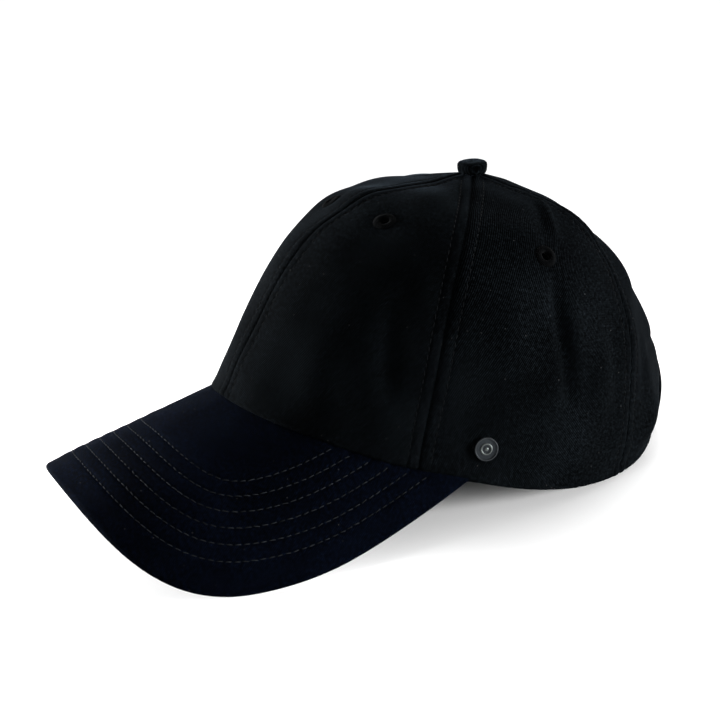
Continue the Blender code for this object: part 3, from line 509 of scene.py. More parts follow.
def bill_face(inner_depth):
    """Flat pattern of one face and its drop at the rounded edge, from the edge to the tuck."""
    end, end_angle = bill_ends()
    even = np.linspace(-1, 1, BILL_COLUMNS + 1)
    s = even + COLUMN_BUNCHING * (np.sin(even * math.pi / 2) - even)
    theta = s * end_angle
    tuck = rim_radius(theta) - TUCK_DEPTH
    x, y = tuck * np.sin(theta), -tuck * np.cos(theta)
    inner = np.stack(bill_flat(x, y, inner_depth * bill_taper(y)), -1)
    outer = np.stack(bill_outline(s * end), -1)
    half = BILL_THICKNESS / 2
    radius = np.minimum(half, 0.4 * np.linalg.norm(inner - outer, axis=-1))
    turns = np.linspace(math.pi / 2, 0, BILL_EDGE_ROWS)
    rows = [np.stack(bill_inset(s * end, radius * (1 - math.sin(turn))), -1) for turn in turns]
    drops = [half * (1 - math.cos(turn)) for turn in turns]
    start = rows[-1]
    for share in np.linspace(0, 1, BILL_ROWS + 1)[1:]:
        rows.append(start + (inner - start) * share)
        drops.append(0.0)
    return np.array(rows), np.array(drops)[:, None] + 0 * theta


def edge_distance(flat):
    """Distance of flat-pattern points from the bill's outer edge."""
    line = np.stack(bill_outline(np.linspace(-1, 1, 1201)), -1)
    return np.array([np.linalg.norm(row[:, None] - line, axis=-1).min(-1) for row in flat])


# ---- mesh tools


def add_object(name, mesh, finishes):
    for finish in finishes:
        mesh.materials.append(finish)
    made = bpy.data.objects.new(name, mesh)
    bpy.context.scene.collection.objects.link(made)
    return made


def settle(piece, slot, *nodes, body="cap"):
    """Hide the nodes a piece stands for and attach it to the body it moves with. The slot is not used.
    """
    if nodes:
        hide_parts(*nodes)
    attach(piece, body)


def build(name, points, faces, finishes, pattern=None, crease=50.0):
    """A smooth mesh whose faces point out, with an optional flat pattern for each point."""
    mesh = bpy.data.meshes.new(name)
    mesh.from_pydata(np.asarray(points, float).tolist(), [], faces)
    made = bmesh.new()
    made.from_mesh(mesh)
    if made.calc_volume(signed=True) < 0:
        bmesh.ops.reverse_faces(made, faces=made.faces)
    made.to_mesh(mesh)
    made.free()
    mesh.shade_smooth()
    mesh.set_sharp_from_angle(angle=math.radians(crease))
    if pattern is not None:
        corners = np.empty(len(mesh.loops), np.int32)
        mesh.loops.foreach_get("vertex_index", corners)
        layer = mesh.uv_layers.new(name=CLOTH_MAP)
        layer.uv.foreach_set("vector", np.asarray(pattern, np.float32)[corners].ravel())
    return add_object(name, mesh, finishes)


def grid_faces(rows, columns, wrap=False, loop=False):
    """Quads of a grid numbered row by row. Its rows may wrap round and its columns may loop."""
    index = np.arange(rows * columns).reshape(rows, columns)
    if loop:
        index = np.concatenate([index, index[:1]], 0)
    if wrap:
        index = np.concatenate([index, index[:, :1]], 1)
    corners = (index[:-1, :-1], index[:-1, 1:], index[1:, 1:], index[1:, :-1])
    return np.stack(corners, -1).reshape(-1, 4)


def end_faces(rows, columns):
    """The two faces that close the ends of a grid whose rows wrap round."""
    return [list(range(columns))[::-1], list(range((rows - 1) * columns, rows * columns))]


def sheet(name, outer, inner, pattern, finishes):
    """A closed cloth sheet between two grids of the same size."""
    rows, columns = outer.shape[:2]
    count = rows * columns
    index = np.arange(count).reshape(rows, columns)
    front = grid_faces(rows, columns)
    back = front[:, ::-1] + count
    edge = np.concatenate([index[0, :-1], index[:-1, -1], index[-1, :0:-1], index[:0:-1, 0]])
    after = np.roll(edge, -1)
    wall = np.stack([after, edge, edge + count, after + count], -1)
    points = np.concatenate([outer.reshape(-1, 3), inner.reshape(-1, 3)])
    flat = np.concatenate([pattern.reshape(-1, 2)] * 2)
    return build(name, points, np.concatenate([front, back, wall]).tolist(), finishes, flat)


def flat_pattern(grid):
    """Flat pattern of a grid: lengths across each row from its middle, and up the middle."""
    across = np.linalg.norm(np.diff(grid, axis=1), axis=-1)
    across = np.concatenate([np.zeros((len(grid), 1)), np.cumsum(across, 1)], 1)
    across = across - across[:, -1:] / 2
    middle = grid[:, grid.shape[1] // 2]
    up = lengths_along(middle)
    return np.stack([across, np.broadcast_to(up[:, None], across.shape)], -1)


def spin(profile, steps, ripple):
    """Points of (radius, height) pairs turned about the z axis, then shifted by a ripple."""
    profile = np.array(profile, float)
    angle = np.linspace(0, 2 * math.pi, steps, endpoint=False)
    radius, height = profile[:, :1] + 0 * angle, profile[:, 1:] + 0 * angle
    if ripple is not None:
        radius, height = ripple(radius, height, angle)
    points = np.stack([radius * np.cos(angle), radius * np.sin(angle), height], -1)
    return points.reshape(-1, 3)


def turned(profile, steps, ripple=None):
    """Points and faces of a turned solid, closed at the profile's two ends."""
    faces = grid_faces(len(profile), steps, wrap=True).tolist() + end_faces(len(profile), steps)
    return spin(profile, steps, ripple), faces


def ring(profile, steps, ripple=None):
    """Points and faces of a ring whose section is a closed loop of (radius, height) pairs."""
    faces = grid_faces(len(profile), steps, wrap=True, loop=True).tolist()
    return spin(profile, steps, ripple), faces


def in_mm(pairs):
    return [(a * MM, b * MM) for a, b in pairs]


def cut(obj, cutter):
    """Cut a closed shape out of an object, and keep the result as the object's own mesh."""
    modifier = obj.modifiers.new("Cut", "BOOLEAN")
    modifier.operation = "DIFFERENCE"
    modifier.solver = "EXACT"
    modifier.object = cutter
    apply_modifiers(obj)
    bpy.data.objects.remove(cutter)


def apply_modifiers(obj):
    bpy.context.view_layer.update()
    graph = bpy.context.evaluated_depsgraph_get()
    mesh = bpy.data.meshes.new_from_object(obj.evaluated_get(graph))
    obj.modifiers.clear()
    obj.data = mesh


def stitches(name, runs, finish, length=2.5 * MM, gap=0.75 * MM):
    """Rows of separate uneven stitches. A run is a line's points and the outward directions."""
    stations = np.array([-0.5, -0.42, -0.22, 0.0, 0.22, 0.42, 0.5])
    lift = np.array([-1.3, -0.2, 0.55, 0.75, 0.55, -0.2, -1.3]) * THREAD_RADIUS
    girth = np.array([0.6, 0.9, 1.0, 1.0, 1.0, 0.9, 0.6]) * THREAD_RADIUS
    sides = 6
    turn = np.arange(sides) * 2 * math.pi / sides
    points, faces = [], []
    for line, outward in runs:
        place = lengths_along(line)
        count = int(place[-1] / (length + gap))
        if count < 1:
            continue
        centres = (np.arange(count) + 0.5) * place[-1] / count + rng.normal(0, 0.08 * MM, count)
        spans = length * rng.uniform(0.88, 1.08, count)
        slant = rng.normal(0, 0.09, count)
        at = centres[:, None] + spans[:, None] * stations
        centre = np.stack([np.interp(at, place, line[:, k]) for k in range(3)], -1)
        up = unit(np.stack([np.interp(at, place, outward[:, k]) for k in range(3)], -1))
        ahead = unit(centre[:, -1:] - centre[:, :1])
        aside = unit(np.cross(up, ahead))
        sway = (at - centres[:, None]) * slant[:, None]
        centre = centre + up * lift[:, None] + aside * sway[..., None]
        spoke = aside[:, :, None] * np.cos(turn)[:, None] + up[:, :, None] * np.sin(turn)[:, None]
        rings = centre[:, :, None] + spoke * girth[:, None, None]
        base = sum(len(part) for part in points)
        points.append(rings.reshape(-1, 3))
        tube = grid_faces(len(stations), sides, wrap=True)
        ends = end_faces(len(stations), sides)
        for k in range(count):
            first = base + k * len(stations) * sides
            faces += (tube + first).tolist()
            faces += [[corner + first for corner in end] for end in ends]
    return build(name, np.concatenate(points), faces, [finish])


def sew(name, runs, finish, *nodes, body="cap", **sizes):
    """Stitches as a piece of their own, which may stand for a node."""
    settle(stitches(name, runs, finish, **sizes), "bill_thread", *nodes, body=body)


# ---- materials


class Nodes:
    """A material's nodes, each added with its inputs in one call."""

    def __init__(self, name):
        self.material = bpy.data.materials.new(name)
        self.material.use_nodes = True
        self.tree = self.material.node_tree
        self.shader = self.tree.nodes["Principled BSDF"]

    def outputs(self, kind, inputs, **settings):
        """Add a node and give its outputs."""
        node = self.tree.nodes.new(kind)
        for key, value in settings.items():
            setattr(node, key, value)
        for key, value in inputs.items():
            self.put(node.inputs[key], value)
        return node.outputs

    def add(self, kind, inputs, output=0, **settings):
        return self.outputs(kind, inputs, **settings)[output]

    def put(self, socket, value):
        if isinstance(value, bpy.types.NodeSocket):
            self.tree.links.new(value, socket)
        else:
            socket.default_value = value

    def math(self, operation, a, b=0.0, c=0.0):
        return self.add("ShaderNodeMath", {0: a, 1: b, 2: c}, operation=operation)

    def total(self, *terms):
        """Sum of (value, weight) pairs."""
        result = 0.0
        for value, weight in terms:
            result = self.math("MULTIPLY_ADD", value, weight, result)
        return result

    def noise(self, vector, scale, detail=3.0, roughness=0.6):
        inputs = {"Vector": vector, "Scale": scale, "Detail": detail, "Roughness": roughness}
        return self.add("ShaderNodeTexNoise", inputs)

    def wave(self, phase):
        """0 to 1 and back once for each whole step of the phase."""
        swing = self.math("SINE", self.math("MULTIPLY", phase, 2 * math.pi))
        return self.math("MULTIPLY_ADD", swing, 0.5, 0.5)

    def between(self, factor, low, high):
        inputs = {"Value": factor, "From Min": low, "From Max": high}
        return self.add("ShaderNodeMapRange", inputs)

    def mix(self, factor, a, b):
        """Mix of two colours."""
        return self.add("ShaderNodeMix", {"Factor": factor, 6: a, 7: b}, 2, data_type="RGBA")

    def surface(self, **values):
        for name, value in values.items():
            self.put(self.shader.inputs[name.replace("_", " ")], value)

    def bump(self, height, strength, distance):
        inputs = {"Height": height, "Strength": strength, "Distance": distance}
        self.put(self.shader.inputs["Normal"], self.add("ShaderNodeBump", inputs))


def shade(color, factor=1.0):
    return (*[channel * factor for channel in color], 1.0)


def position(nodes):
    return nodes.add("ShaderNodeNewGeometry", {}, "Position")


def cloth_map(nodes):
    return nodes.add("ShaderNodeUVMap", {}, uv_map=CLOTH_MAP)


# One argument scales the painted sheen blotches and the lint together.
def twill(name, color, pitch=0.8 * MM, slant=25.0, sheen_and_lint=1.0, sheen=0.021, tint=(0.6, 0.8, 1.0)):
    """Cotton twill: diagonal ribs of short floats, fuzz, broad blotches of painted sheen and a little
    lint.
    """
    nodes = Nodes(name)
    cloth = cloth_map(nodes)
    turn = {"Vector": cloth, "Scale": (1 / pitch,) * 3, "Rotation": (0, 0, math.radians(slant))}
    along = nodes.outputs("ShaderNodeSeparateXYZ", {0: nodes.add("ShaderNodeMapping", turn)})
    wobble = nodes.noise(cloth, 0.12 / MM, 2.0)
    across = nodes.math("MULTIPLY_ADD", wobble, 0.9, along[0])
    rib = nodes.wave(across)
    half_step = nodes.math("MULTIPLY", nodes.math("FLOOR", across), 0.5)
    yarn = nodes.wave(nodes.math("MULTIPLY_ADD", along[1], 1.15, half_step))
    fuzz = nodes.noise(cloth, 2.2 / MM, 4.0, 0.7)
    height = nodes.total((nodes.math("MULTIPLY", rib, yarn), 0.3), (rib, 0.6), (fuzz, 0.5))
    # Painted sheen: broad soft noises lighten the colour in blotches, standing in for the cloth's
    # shine.
    sheen_blotches = nodes.noise(position(nodes), 0.028 / MM, 4.0, 0.55)
    patches = nodes.noise(position(nodes), 0.085 / MM, 3.0, 0.5)
    mottle = nodes.noise(cloth, 0.7 / MM, 4.0, 0.75)
    painted_sheen = nodes.total((sheen_blotches, 1.0), (patches, 0.3))
    # Tone: lighter rib tops and darker grooves, the painted sheen blotches and the yarn's random
    # grain.
    relief_sheen_and_grain = nodes.total((height, 0.45), (painted_sheen, 0.35 * sheen_and_lint), (mottle, 1.1))
    least = 0.55 + 0.23 * sheen_and_lint
    light = nodes.math("POWER", nodes.between(relief_sheen_and_grain, least, least + 0.64), 2.8)
    tone = nodes.mix(light, shade(color, 0.2), shade(color, 11.0))
    cell = nodes.outputs("ShaderNodeTexVoronoi", {"Vector": cloth, "Scale": 0.32 / MM})
    draw = nodes.add("ShaderNodeSeparateColor", {0: cell["Color"]})
    speck = nodes.math("LESS_THAN", cell["Distance"], 0.09)
    lint = nodes.math("MULTIPLY", nodes.math("GREATER_THAN", draw, 0.8), speck)
    tone = nodes.mix(nodes.math("MULTIPLY", lint, 0.12 * sheen_and_lint), tone, shade((0.11, 0.11, 0.11)))
    nodes.surface(
        Base_Color=tone, Roughness=0.9, Specular_IOR_Level=0.004,
        Sheen_Weight=sheen, Sheen_Roughness=0.22, Sheen_Tint=shade(tint),
    )
    nodes.bump(height, 0.75, 0.11 * MM)
    return nodes.material


def thread(name, color, sheen):
    """Spun thread: a fine uneven twist with lighter fibres."""
    nodes = Nodes(name)
    place = position(nodes)
    twist = nodes.noise(place, 2.6 / MM, 3.0, 0.65)
    patches = nodes.noise(place, 0.25 / MM, 2.0)
    amount = nodes.total((twist, 0.6), (patches, 0.6))
    tone = nodes.mix(nodes.between(amount, 0.42, 0.8), shade(color, 0.25), shade(color, 1.9))
    nodes.surface(
        Base_Color=tone, Roughness=0.8, Specular_IOR_Level=0.01,
        Sheen_Weight=sheen, Sheen_Roughness=0.4,
    )
    nodes.bump(twist, 0.6, 0.08 * MM)
    return nodes.material


def metal(name, color, roughness=0.34):
    """Coated metal with fine scratches and slightly rubbed, lighter patches."""
    nodes = Nodes(name)
    place = position(nodes)
    grain = nodes.noise(place, 3.0 / MM, 3.0, 0.7)
    patches = nodes.noise(place, 0.18 / MM, 3.0)
    amount = nodes.total((grain, 0.35), (patches, 0.65))
    tone = nodes.mix(nodes.between(amount, 0.3, 0.75), shade(color, 0.75), shade(color, 1.25))
    rough = nodes.math("MULTIPLY_ADD", amount, 0.2, roughness - 0.1)
    nodes.surface(Base_Color=tone, Roughness=rough, Metallic=1.0)
    nodes.bump(grain, 0.25, 0.02 * MM)
    return nodes.material


def moulded_sheet(name, color):
    """The bill's stiffener: matt plastic with a faint grain."""
    nodes = Nodes(name)
    grain = nodes.noise(position(nodes), 1.2 / MM, 4.0)
    tone = nodes.mix(grain, shade(color, 0.85), shade(color, 1.1))
    nodes.surface(Base_Color=tone, Roughness=0.55)
    nodes.bump(grain, 0.2, 0.05 * MM)
    return nodes.material


def satin(name, color):
    """Blank woven label: fine crosswise ribs with a soft shine."""
    nodes = Nodes(name)
    cloth = cloth_map(nodes)
    along = nodes.outputs("ShaderNodeSeparateXYZ", {0: cloth})
    ribs = nodes.wave(nodes.math("MULTIPLY", along[1], 2.5 / MM))
    height = nodes.total((ribs, 1.0), (nodes.noise(cloth, 1.5 / MM), 0.5))
    tone = nodes.mix(nodes.between(height, 0.0, 1.5), shade(color, 0.8), shade(color, 1.08))
    nodes.surface(Base_Color=tone, Roughness=0.5, Sheen_Weight=0.2)
    nodes.bump(height, 0.4, 0.05 * MM)
    return nodes.material


CROWN_BLACK = (0.00052, 0.0007, 0.00086)
BILL_BLACK = (0.00026, 0.00046, 0.0011)

crown_twill = twill("crown_twill", CROWN_BLACK)
bill_twill = twill("bill_twill", BILL_BLACK, slant=-30.0, sheen=0.012, tint=(0.3, 0.55, 1.0))
band_twill = twill("sweatband_twill", (0.0013, 0.0014, 0.0015), pitch=0.6 * MM, sheen_and_lint=0.4)
bias_twill = twill("bias_twill", CROWN_BLACK, slant=17.0)
strap_twill = twill("strap_twill", (0.001, 0.0011, 0.0012), pitch=0.7 * MM, slant=50.0, sheen_and_lint=0.5)
label_satin = satin("label_satin", (0.42, 0.42, 0.4))
tape_weave = twill("tape_weave", (0.0015, 0.0016, 0.0017), pitch=1.1 * MM, slant=45.0, sheen_and_lint=0.2)
seam_thread = thread("seam_thread", (0.0034, 0.0039, 0.0044), sheen=0.02)
bill_thread = thread("bill_thread", (0.0085, 0.0095, 0.011), sheen=0.015)
eyelet_thread = thread("eyelet_thread", (0.001, 0.0012, 0.0014), sheen=0.012)
buckle_metal = metal("buckle_metal", (0.16, 0.16, 0.165))
dark_metal = metal("dark_metal", (0.03, 0.03, 0.032), 0.45)
badge_enamel = metal("badge_enamel", (0.021, 0.024, 0.027), 0.48)
badge_rim = metal("badge_rim", (0.042, 0.046, 0.05), 0.4)
badge_mark = metal("badge_mark", (0.07, 0.078, 0.076), 0.5)


# ---- crown panels


def lowest_place(theta):
    """Where a panel starts on its way up: at the rim, or at the rear opening's edge."""
    height = rim_height(theta)
    x = rim_radius(theta) * np.sin(theta)
    behind = np.cos(theta) < 0
    arch = ARCH_HEIGHT * np.sqrt(np.clip(1 - (x / ARCH_HALF_WIDTH) ** 2, 0, 1))
    height = np.where(behind, np.maximum(height, arch), height)
    free = height <= rim_height(theta) + 1e-9
    return np.where(free, 0.0, place_at_height(theta, height))


def seam_relief(distance):
    """Rise of the cloth beside a seam: a groove, a padded ridge and the sunken stitch line."""
    places = np.array([0, 0.3, 0.8, 1.6, 3.0, 4.0, 4.9, 5.7, 6.8, 8.0]) * MM
    rises = np.array([-0.6, -0.4, 0.0, 0.22, 0.26, 0.12, -0.2, -0.02, 0.03, 0]) * MM
    return np.interp(distance, places, rises)


def panel_grid(seam_a, seam_b, side):
    """A panel's grid of angles and places, its seam distances and its two stitch lines."""
    samples = np.linspace(0, 1, 401)

    def row_angles(t):
        return seam_angle(seam_a, t) * (1 - samples) + seam_angle(seam_b, t) * samples

    plain_columns = 34 if seam_b[0] - seam_a[0] < 60 else 44
    hem = HEM_STEPS / PANEL_LENGTH
    shares = np.concatenate([hem[:-1], np.linspace(hem[-1], 1, PANEL_ROWS)])
    low, top = lowest_place(row_angles(0)), place_at_radius(row_angles(1), APEX_HOLE_RADIUS)
    thetas, places, gaps, lines = [], [], [], []
    for share in shares:
        t = low + (top - low) * share
        theta = row_angles(t)
        length = lengths_along(crown_point(theta, t))
        width = length[-1]
        zone = min(SEAM_STEPS[-1], 0.42 * width)
        beside = SEAM_STEPS / SEAM_STEPS[-1] * zone
        middle = np.linspace(zone, width - zone, plain_columns + 1)[1:-1]
        at = np.concatenate([beside, middle, (width - beside)[::-1]])
        thetas.append(np.interp(at, length, theta))
        places.append(np.interp(at, length, t))
        gaps.append(np.minimum(at, width - at))
        if width > 2.1 * SEAM_STITCH:
            at = np.array([SEAM_STITCH, width - SEAM_STITCH])
            lines.append((side * np.interp(at, length, theta), np.interp(at, length, t)))
    return side * np.array(thetas), np.array(places), np.array(gaps), np.array(lines)


def hem_rounding(height):
    """How far the outer face draws in at the folded lower edge, which stands proud above."""
    curl = HEM_CURL * (1 - np.sqrt(1 - ramp(height, HEM_RADIUS, 0) ** 2))
    return curl - HEM_PROUD * ramp(height, HEM_PROUD_HEIGHT, 0) ** 2


def lift_over_bill(theta, grid, height):
    """Lift the inner side of a panel's hem clear of the bill."""
    edge, angle = grid[0], np.abs(theta[0])
    lift = bill_height(edge[:, 0], edge[:, 1]) - rim_sag(angle) - edge[:, 2]
    fade = ramp(np.degrees(angle), BILL_HALF_ANGLE + 2, BILL_HALF_ANGLE - 8)
    grid[..., 2] += np.maximum(lift, 0) * fade * ramp(height, HEM_LIFT_HEIGHT, 0)


def add_panel(place, side, seams):
    """One panel's cloth with its hem, its eyelet's hole and the topstitching by its seams."""
    theta, t, gap, lines = panel_grid(*seams, SIDES[side])
    height = np.linalg.norm(crown_point(theta, t) - crown_point(theta[0], t[0]), axis=-1)
    outer = crown_layer(theta, t, hem_rounding(height) - seam_relief(gap))
    inner = crown_layer(theta, t, CLOTH + HEM_DEPTH * ramp(height, HEM_HEIGHT, 0) ** 0.5)
    lift_over_bill(theta, inner, height)
    panel = sheet(f"{place}_panel_{side}_cloth", outer, inner, flat_pattern(outer), [crown_twill])
    open_hole(panel, EYELETS[place, side], EYELET_CUT)
    settle(panel, "crown_twill", f"{place}_panel_{side}")
    runs = []
    above_edge = lines[2:]
    for line in np.moveaxis(above_edge, -1, 0):
        sunk = -seam_relief(SEAM_STITCH) + 0 * line[:, 0]
        runs.append((crown_layer(*line.T, sunk), layer_normal(*line.T)))
    sew(f"{place}_panel_{side}_stitches", runs, seam_thread)


def crown_axes(place):
    """Placement on the folded crown: z outwards, x level."""
    point = Vector(crown_layer(*place, 0.0))
    z = Vector(layer_normal(*place))
    x = Vector((0, 0, 1)).cross(z).normalized()
    return Matrix.Translation(point) @ Matrix((x, z.cross(x), z)).transposed().to_4x4()


def open_hole(panel, place, radius):
    reach = 6 * MM
    points, faces = turned([(radius, -reach), (radius, reach)], 32)
    cutter = build(panel.name + "_hole", points, faces, [])
    cutter.matrix_world = crown_axes(place)
    cut(panel, cutter)


def drape(points, place):
    """Lay points given about the z axis onto the folded crown round a place."""
    axes = np.array(crown_axes(place).to_3x3())
    plane = np.stack(slopes(crown_point, *place, 1e-3), -1)
    turn = np.linalg.pinv(plane) @ axes[:, :2]
    theta, t = (np.array(place) + points[:, :2] @ turn.T).T
    return crown_layer(theta, t, 0.0) + points[:, 2:] * layer_normal(theta, t)


def add_eyelet(place, side):
    """Embroidered eyelet: satin stitches that run over a ring from its hole to its edge."""
    shares = np.linspace(0, 1, 13)
    radii = EYELET_HOLE + (EYELET_RADIUS - EYELET_HOLE) * shares
    heights = (0.16 + 0.85 * np.sin(math.pi * shares**0.8) ** 0.8) * MM
    outer = list(zip(radii, heights))
    inner = [(r, -CLOTH - h * 0.8) for r, h in reversed(outer)]
    middle = -CLOTH / 2
    wall = [(EYELET_HOLE - 0.05 * MM, middle)]

    def satin_stitches(r, z, angle):
        bundle = np.abs(np.sin(angle * EYELET_THREADS / 2)) ** 0.7
        uneven = 0.12 * np.sin(angle * 5 + 1.0) + 0.1 * np.sin(angle * 11 + 2.0)
        share = ramp(r, EYELET_HOLE, EYELET_RADIUS)
        lifted = np.sign(z - middle) * 0.16 * MM * bundle * (0.4 + np.sin(math.pi * share))
        reach = 0.22 * MM * share**2 * (bundle - 0.5 + uneven)
        return r + reach, z + lifted * (np.abs(z - middle) > 0.2 * MM)

    points, faces = ring(outer + inner + wall, EYELET_THREADS * 5, satin_stitches)
    points = drape(points, EYELETS[place, side])
    made = build(f"eyelet_{place}_{side}_embroidery", points, faces, [eyelet_thread])
    settle(made, "eyelet_thread", f"eyelet_{place}_{side}")


def add_panels():
    layout = {
        "front": (CENTRE_FRONT, FRONT_SIDE_SEAM),
        "side": (FRONT_SIDE_SEAM, SIDE_REAR_SEAM),
        "rear": (SIDE_REAR_SEAM, CENTRE_REAR),
    }
    for place, seams in layout.items():
        for side in SIDES:
            add_panel(place, side, seams)
            add_eyelet(place, side)


# ---- seam tapes


def add_seam_tape(name, seam, low_height, side):
    """Woven tape sewn over a seam inside, mitred where the tapes meet at the apex."""
    base = float(seam_angle(seam, 0))
    low = float(place_at_height(base, low_height))
    top = float(place_at_radius(float(seam_angle(seam, 1)), APEX_HOLE_RADIUS + 2 * MM))
    t = np.linspace(low, top, 96)
    middle = seam_angle(seam, t)
    radius = crown_profile(middle, t)[0] - TAPE_DEPTH
    half = np.minimum(TAPE_WIDTH / 2 / radius, math.radians(TAPE_MITRE) - GAP / radius)
    quarter = 4
    across = np.sin(np.linspace(-1, 1, 4 * quarter + 1) * math.pi / 2)
    theta = side * (middle[:, None] + half[:, None] * across)
    t = np.broadcast_to(t[:, None], theta.shape)
    pillow = 0.35 * MM * np.cos(across * math.pi / 2) ** 0.5
    channel = 0.3 * MM * bell(np.abs(across) - 0.72, 0.1)
    outer = crown_layer(theta, t, TAPE_DEPTH - 0.2 * MM + 0 * theta)
    inner = crown_layer(theta, t, TAPE_DEPTH + TAPE_THICKNESS * 0.6 + pillow - channel)
    made = sheet(name + "_weave", outer, inner, flat_pattern(inner), [tape_weave])
    settle(made, "seam_tape", name)
    lines = (quarter, 3 * quarter)
    runs = [(inner[:, k], -layer_normal(theta[:, k], t[:, k])) for k in lines]
    sew(name + "_stitches", runs, seam_thread)


def add_seam_tapes():
    def above_rim(seam):
        return float(rim_height(seam_angle(seam, 0))) + TAPE_RIM_CLEARANCE

    add_seam_tape("seam_tape_front", CENTRE_FRONT, above_rim(CENTRE_FRONT), 1)
    over_arch = ARCH_HEIGHT + BINDING_WIDTH + 2 * MM
    add_seam_tape("seam_tape_rear", CENTRE_REAR, over_arch, 1)
    for side, sign in SIDES.items():
        add_seam_tape(f"seam_tape_front_{side}", FRONT_SIDE_SEAM, above_rim(FRONT_SIDE_SEAM), sign)
        add_seam_tape(f"seam_tape_rear_{side}", SIDE_REAR_SEAM, above_rim(SIDE_REAR_SEAM), sign)


# ---- button and badge


def add_top_button():
    """Cloth gathered over a domed button, with pleats that run under its edge."""
    low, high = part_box("top_button")
    radius, height = (high.x - low.x) / 2, (high.z - low.z) * 0.9
    centre = Vector(((low.x + high.x) / 2, (low.y + high.y) / 2, low.z - 0.3 * MM))
    dome = [
        (0.02, 1.0), (0.3, 1.0), (0.6, 0.99), (0.78, 0.965), (0.9, 0.9), (0.97, 0.78),
        (1.0, 0.6), (1.0, 0.35), (0.98, 0.12), (0.93, -0.06), (0.87, -0.18), (0.7, -0.2),
    ]
    profile = [(r * radius, h * height) for r, h in reversed(dome)]

    def pleats(r, z, angle):
        low_down = np.clip(1 - z / (0.8 * height), 0, 1.2) ** 1.5
        fold = np.abs(np.sin(angle * 8 + 0.6 * np.sin(angle * 3)))
        return r * (1 - 0.05 * low_down * fold), z + 0.05 * MM * np.sin(angle * 3 + 1)

    points, faces = turned(profile, 144, pleats)
    made = build("top_button_cloth", points + np.array(centre), faces, [bias_twill], points[:, :2])
    settle(made, "button_cloth", "top_button")


def add_side_badge():
    """Dark enamelled disc in a thin bright rim, with a plain raised ring and a centre bead."""
    low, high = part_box("side_badge")
    axes = crown_axes(crown_place((low + high) / 2))
    disc = [(0.05, 0.9), (3.6, 0.9), (4.3, 0.95), (4.4, 0.3)]
    rim = [(4.3, 0.5), (4.3, 1.2), (4.45, 1.4), (4.7, 1.4), (4.9, 1.15), (4.9, 0.1), (4.4, 0.1)]
    inner_ring = [(1.75, 0.8), (1.8, 1.1), (1.95, 1.2), (2.3, 1.2), (2.45, 1.1), (2.5, 0.8)]
    bead = [(0.85, 0.8), (0.8, 1.05), (0.6, 1.2), (0.3, 1.26), (0.02, 1.27)]
    layers = {
        "disc": (turned(in_mm(reversed(disc)), 72), badge_enamel),
        "rim": (ring(in_mm(rim), 72), badge_rim),
        "ring": (ring(in_mm(inner_ring), 64), badge_mark),
        "bead": (turned(in_mm(bead), 40), badge_mark),
    }
    for part, ((points, faces), finish) in layers.items():
        made = build(f"side_badge_{part}", points, faces, [finish], crease=35)
        made.matrix_world = axes
        settle(made, "badge_metal", *(["side_badge"] if part == "disc" else []))


# ---- bill


def row_relief(distance):
    """Quilting of the bill: sunken rows of stitches and the cloth swelling between them."""
    rise = np.zeros(distance.shape)
    for number in range(STITCH_ROWS):
        inset = FIRST_ROW_INSET + ROW_PITCH * number
        rise = rise - 0.38 * MM * bell(distance - inset, 0.62 * MM)
    swell = np.sin((distance - FIRST_ROW_INSET) / ROW_PITCH * math.pi) ** 2
    within = distance > FIRST_ROW_INSET - ROW_PITCH
    within &= distance < FIRST_ROW_INSET + ROW_PITCH * STITCH_ROWS
    return rise + 0.14 * MM * swell * within


def bill_ripple(flat):
    """Slight unevenness of the glued cloth."""
    x, y = flat[..., 0], flat[..., 1]
    return 0.07 * MM * (
        np.sin(x / (9 * MM) + 1.3 * np.sin(y / (14 * MM)))
        + np.sin(y / (7 * MM) + x / (19 * MM))
        + 0.6 * np.sin((x - y) / (4.1 * MM))
    )


def add_bill_cloth(name, under):
    """One face's cloth. The two cloths turn in round the edge and meet in a groove."""
    half = BILL_THICKNESS / 2
    flat, drop = bill_face(BILL_THICKNESS if under else 0.0)
    relief = (row_relief(edge_distance(flat)) + bill_ripple(flat)) * (drop == 0)
    depth = BILL_THICKNESS - drop + relief if under else drop - relief
    outer = bill_layer(flat, depth)
    inwards = unit(np.roll(outer, -BILL_EDGE_ROWS - 3, axis=0) - outer)
    outer = outer + 0.35 * MM * bell(half - drop, 0.22 * MM)[..., None] * inwards
    inner = bill_layer(flat, depth + (-BILL_CLOTH if under else BILL_CLOTH))
    pull = ramp(drop, 0, half)[..., None]
    inner = inner * (1 - pull) + (outer + 0.8 * MM * inwards) * pull
    made = sheet(f"{name}_twill", outer, inner, flat, [bill_twill])
    settle(made, "bill_twill", name)


def add_bill_stitches(number, under):
    """One face of a stitch row, sunk in the cloth and ending just short of the crown."""
    inset = FIRST_ROW_INSET + ROW_PITCH * number
    sunk, clear = 0.26 * MM, 0.8 * MM
    depth = BILL_THICKNESS - sunk if under else sunk
    end = solve(lambda q: inside_rim(bill_point(*bill_inset(q, inset), depth)), 0.3, 0.99, -clear)
    flat = np.stack(bill_inset(np.linspace(-end, end, 500), inset), -1)
    outward = bill_normal(flat[..., 0]) * (-1.0 if under else 1.0)
    row = f"bill_stitch_row_{number + 1}"
    name, nodes = (f"{row}_under", []) if under else (f"{row}_top", [row])
    run = (bill_layer(flat, depth), outward)
    sew(name, [run], bill_thread, *nodes, length=2.6 * MM, gap=0.7 * MM)


def add_bill_board():
    """The stiffener between the bill's cloths."""
    flat = bill_face(BILL_THICKNESS / 2)[0][BILL_EDGE_ROWS::7, ::4]
    top = bill_layer(flat, BILL_CLOTH + GAP)
    under = bill_layer(flat, BILL_THICKNESS - BILL_CLOTH - GAP)
    finish = moulded_sheet("bill_board_plastic", (0.5, 0.5, 0.48))
    settle(sheet("bill_board_moulding", top, under, flat, [finish]), "bill_board", "bill_board")


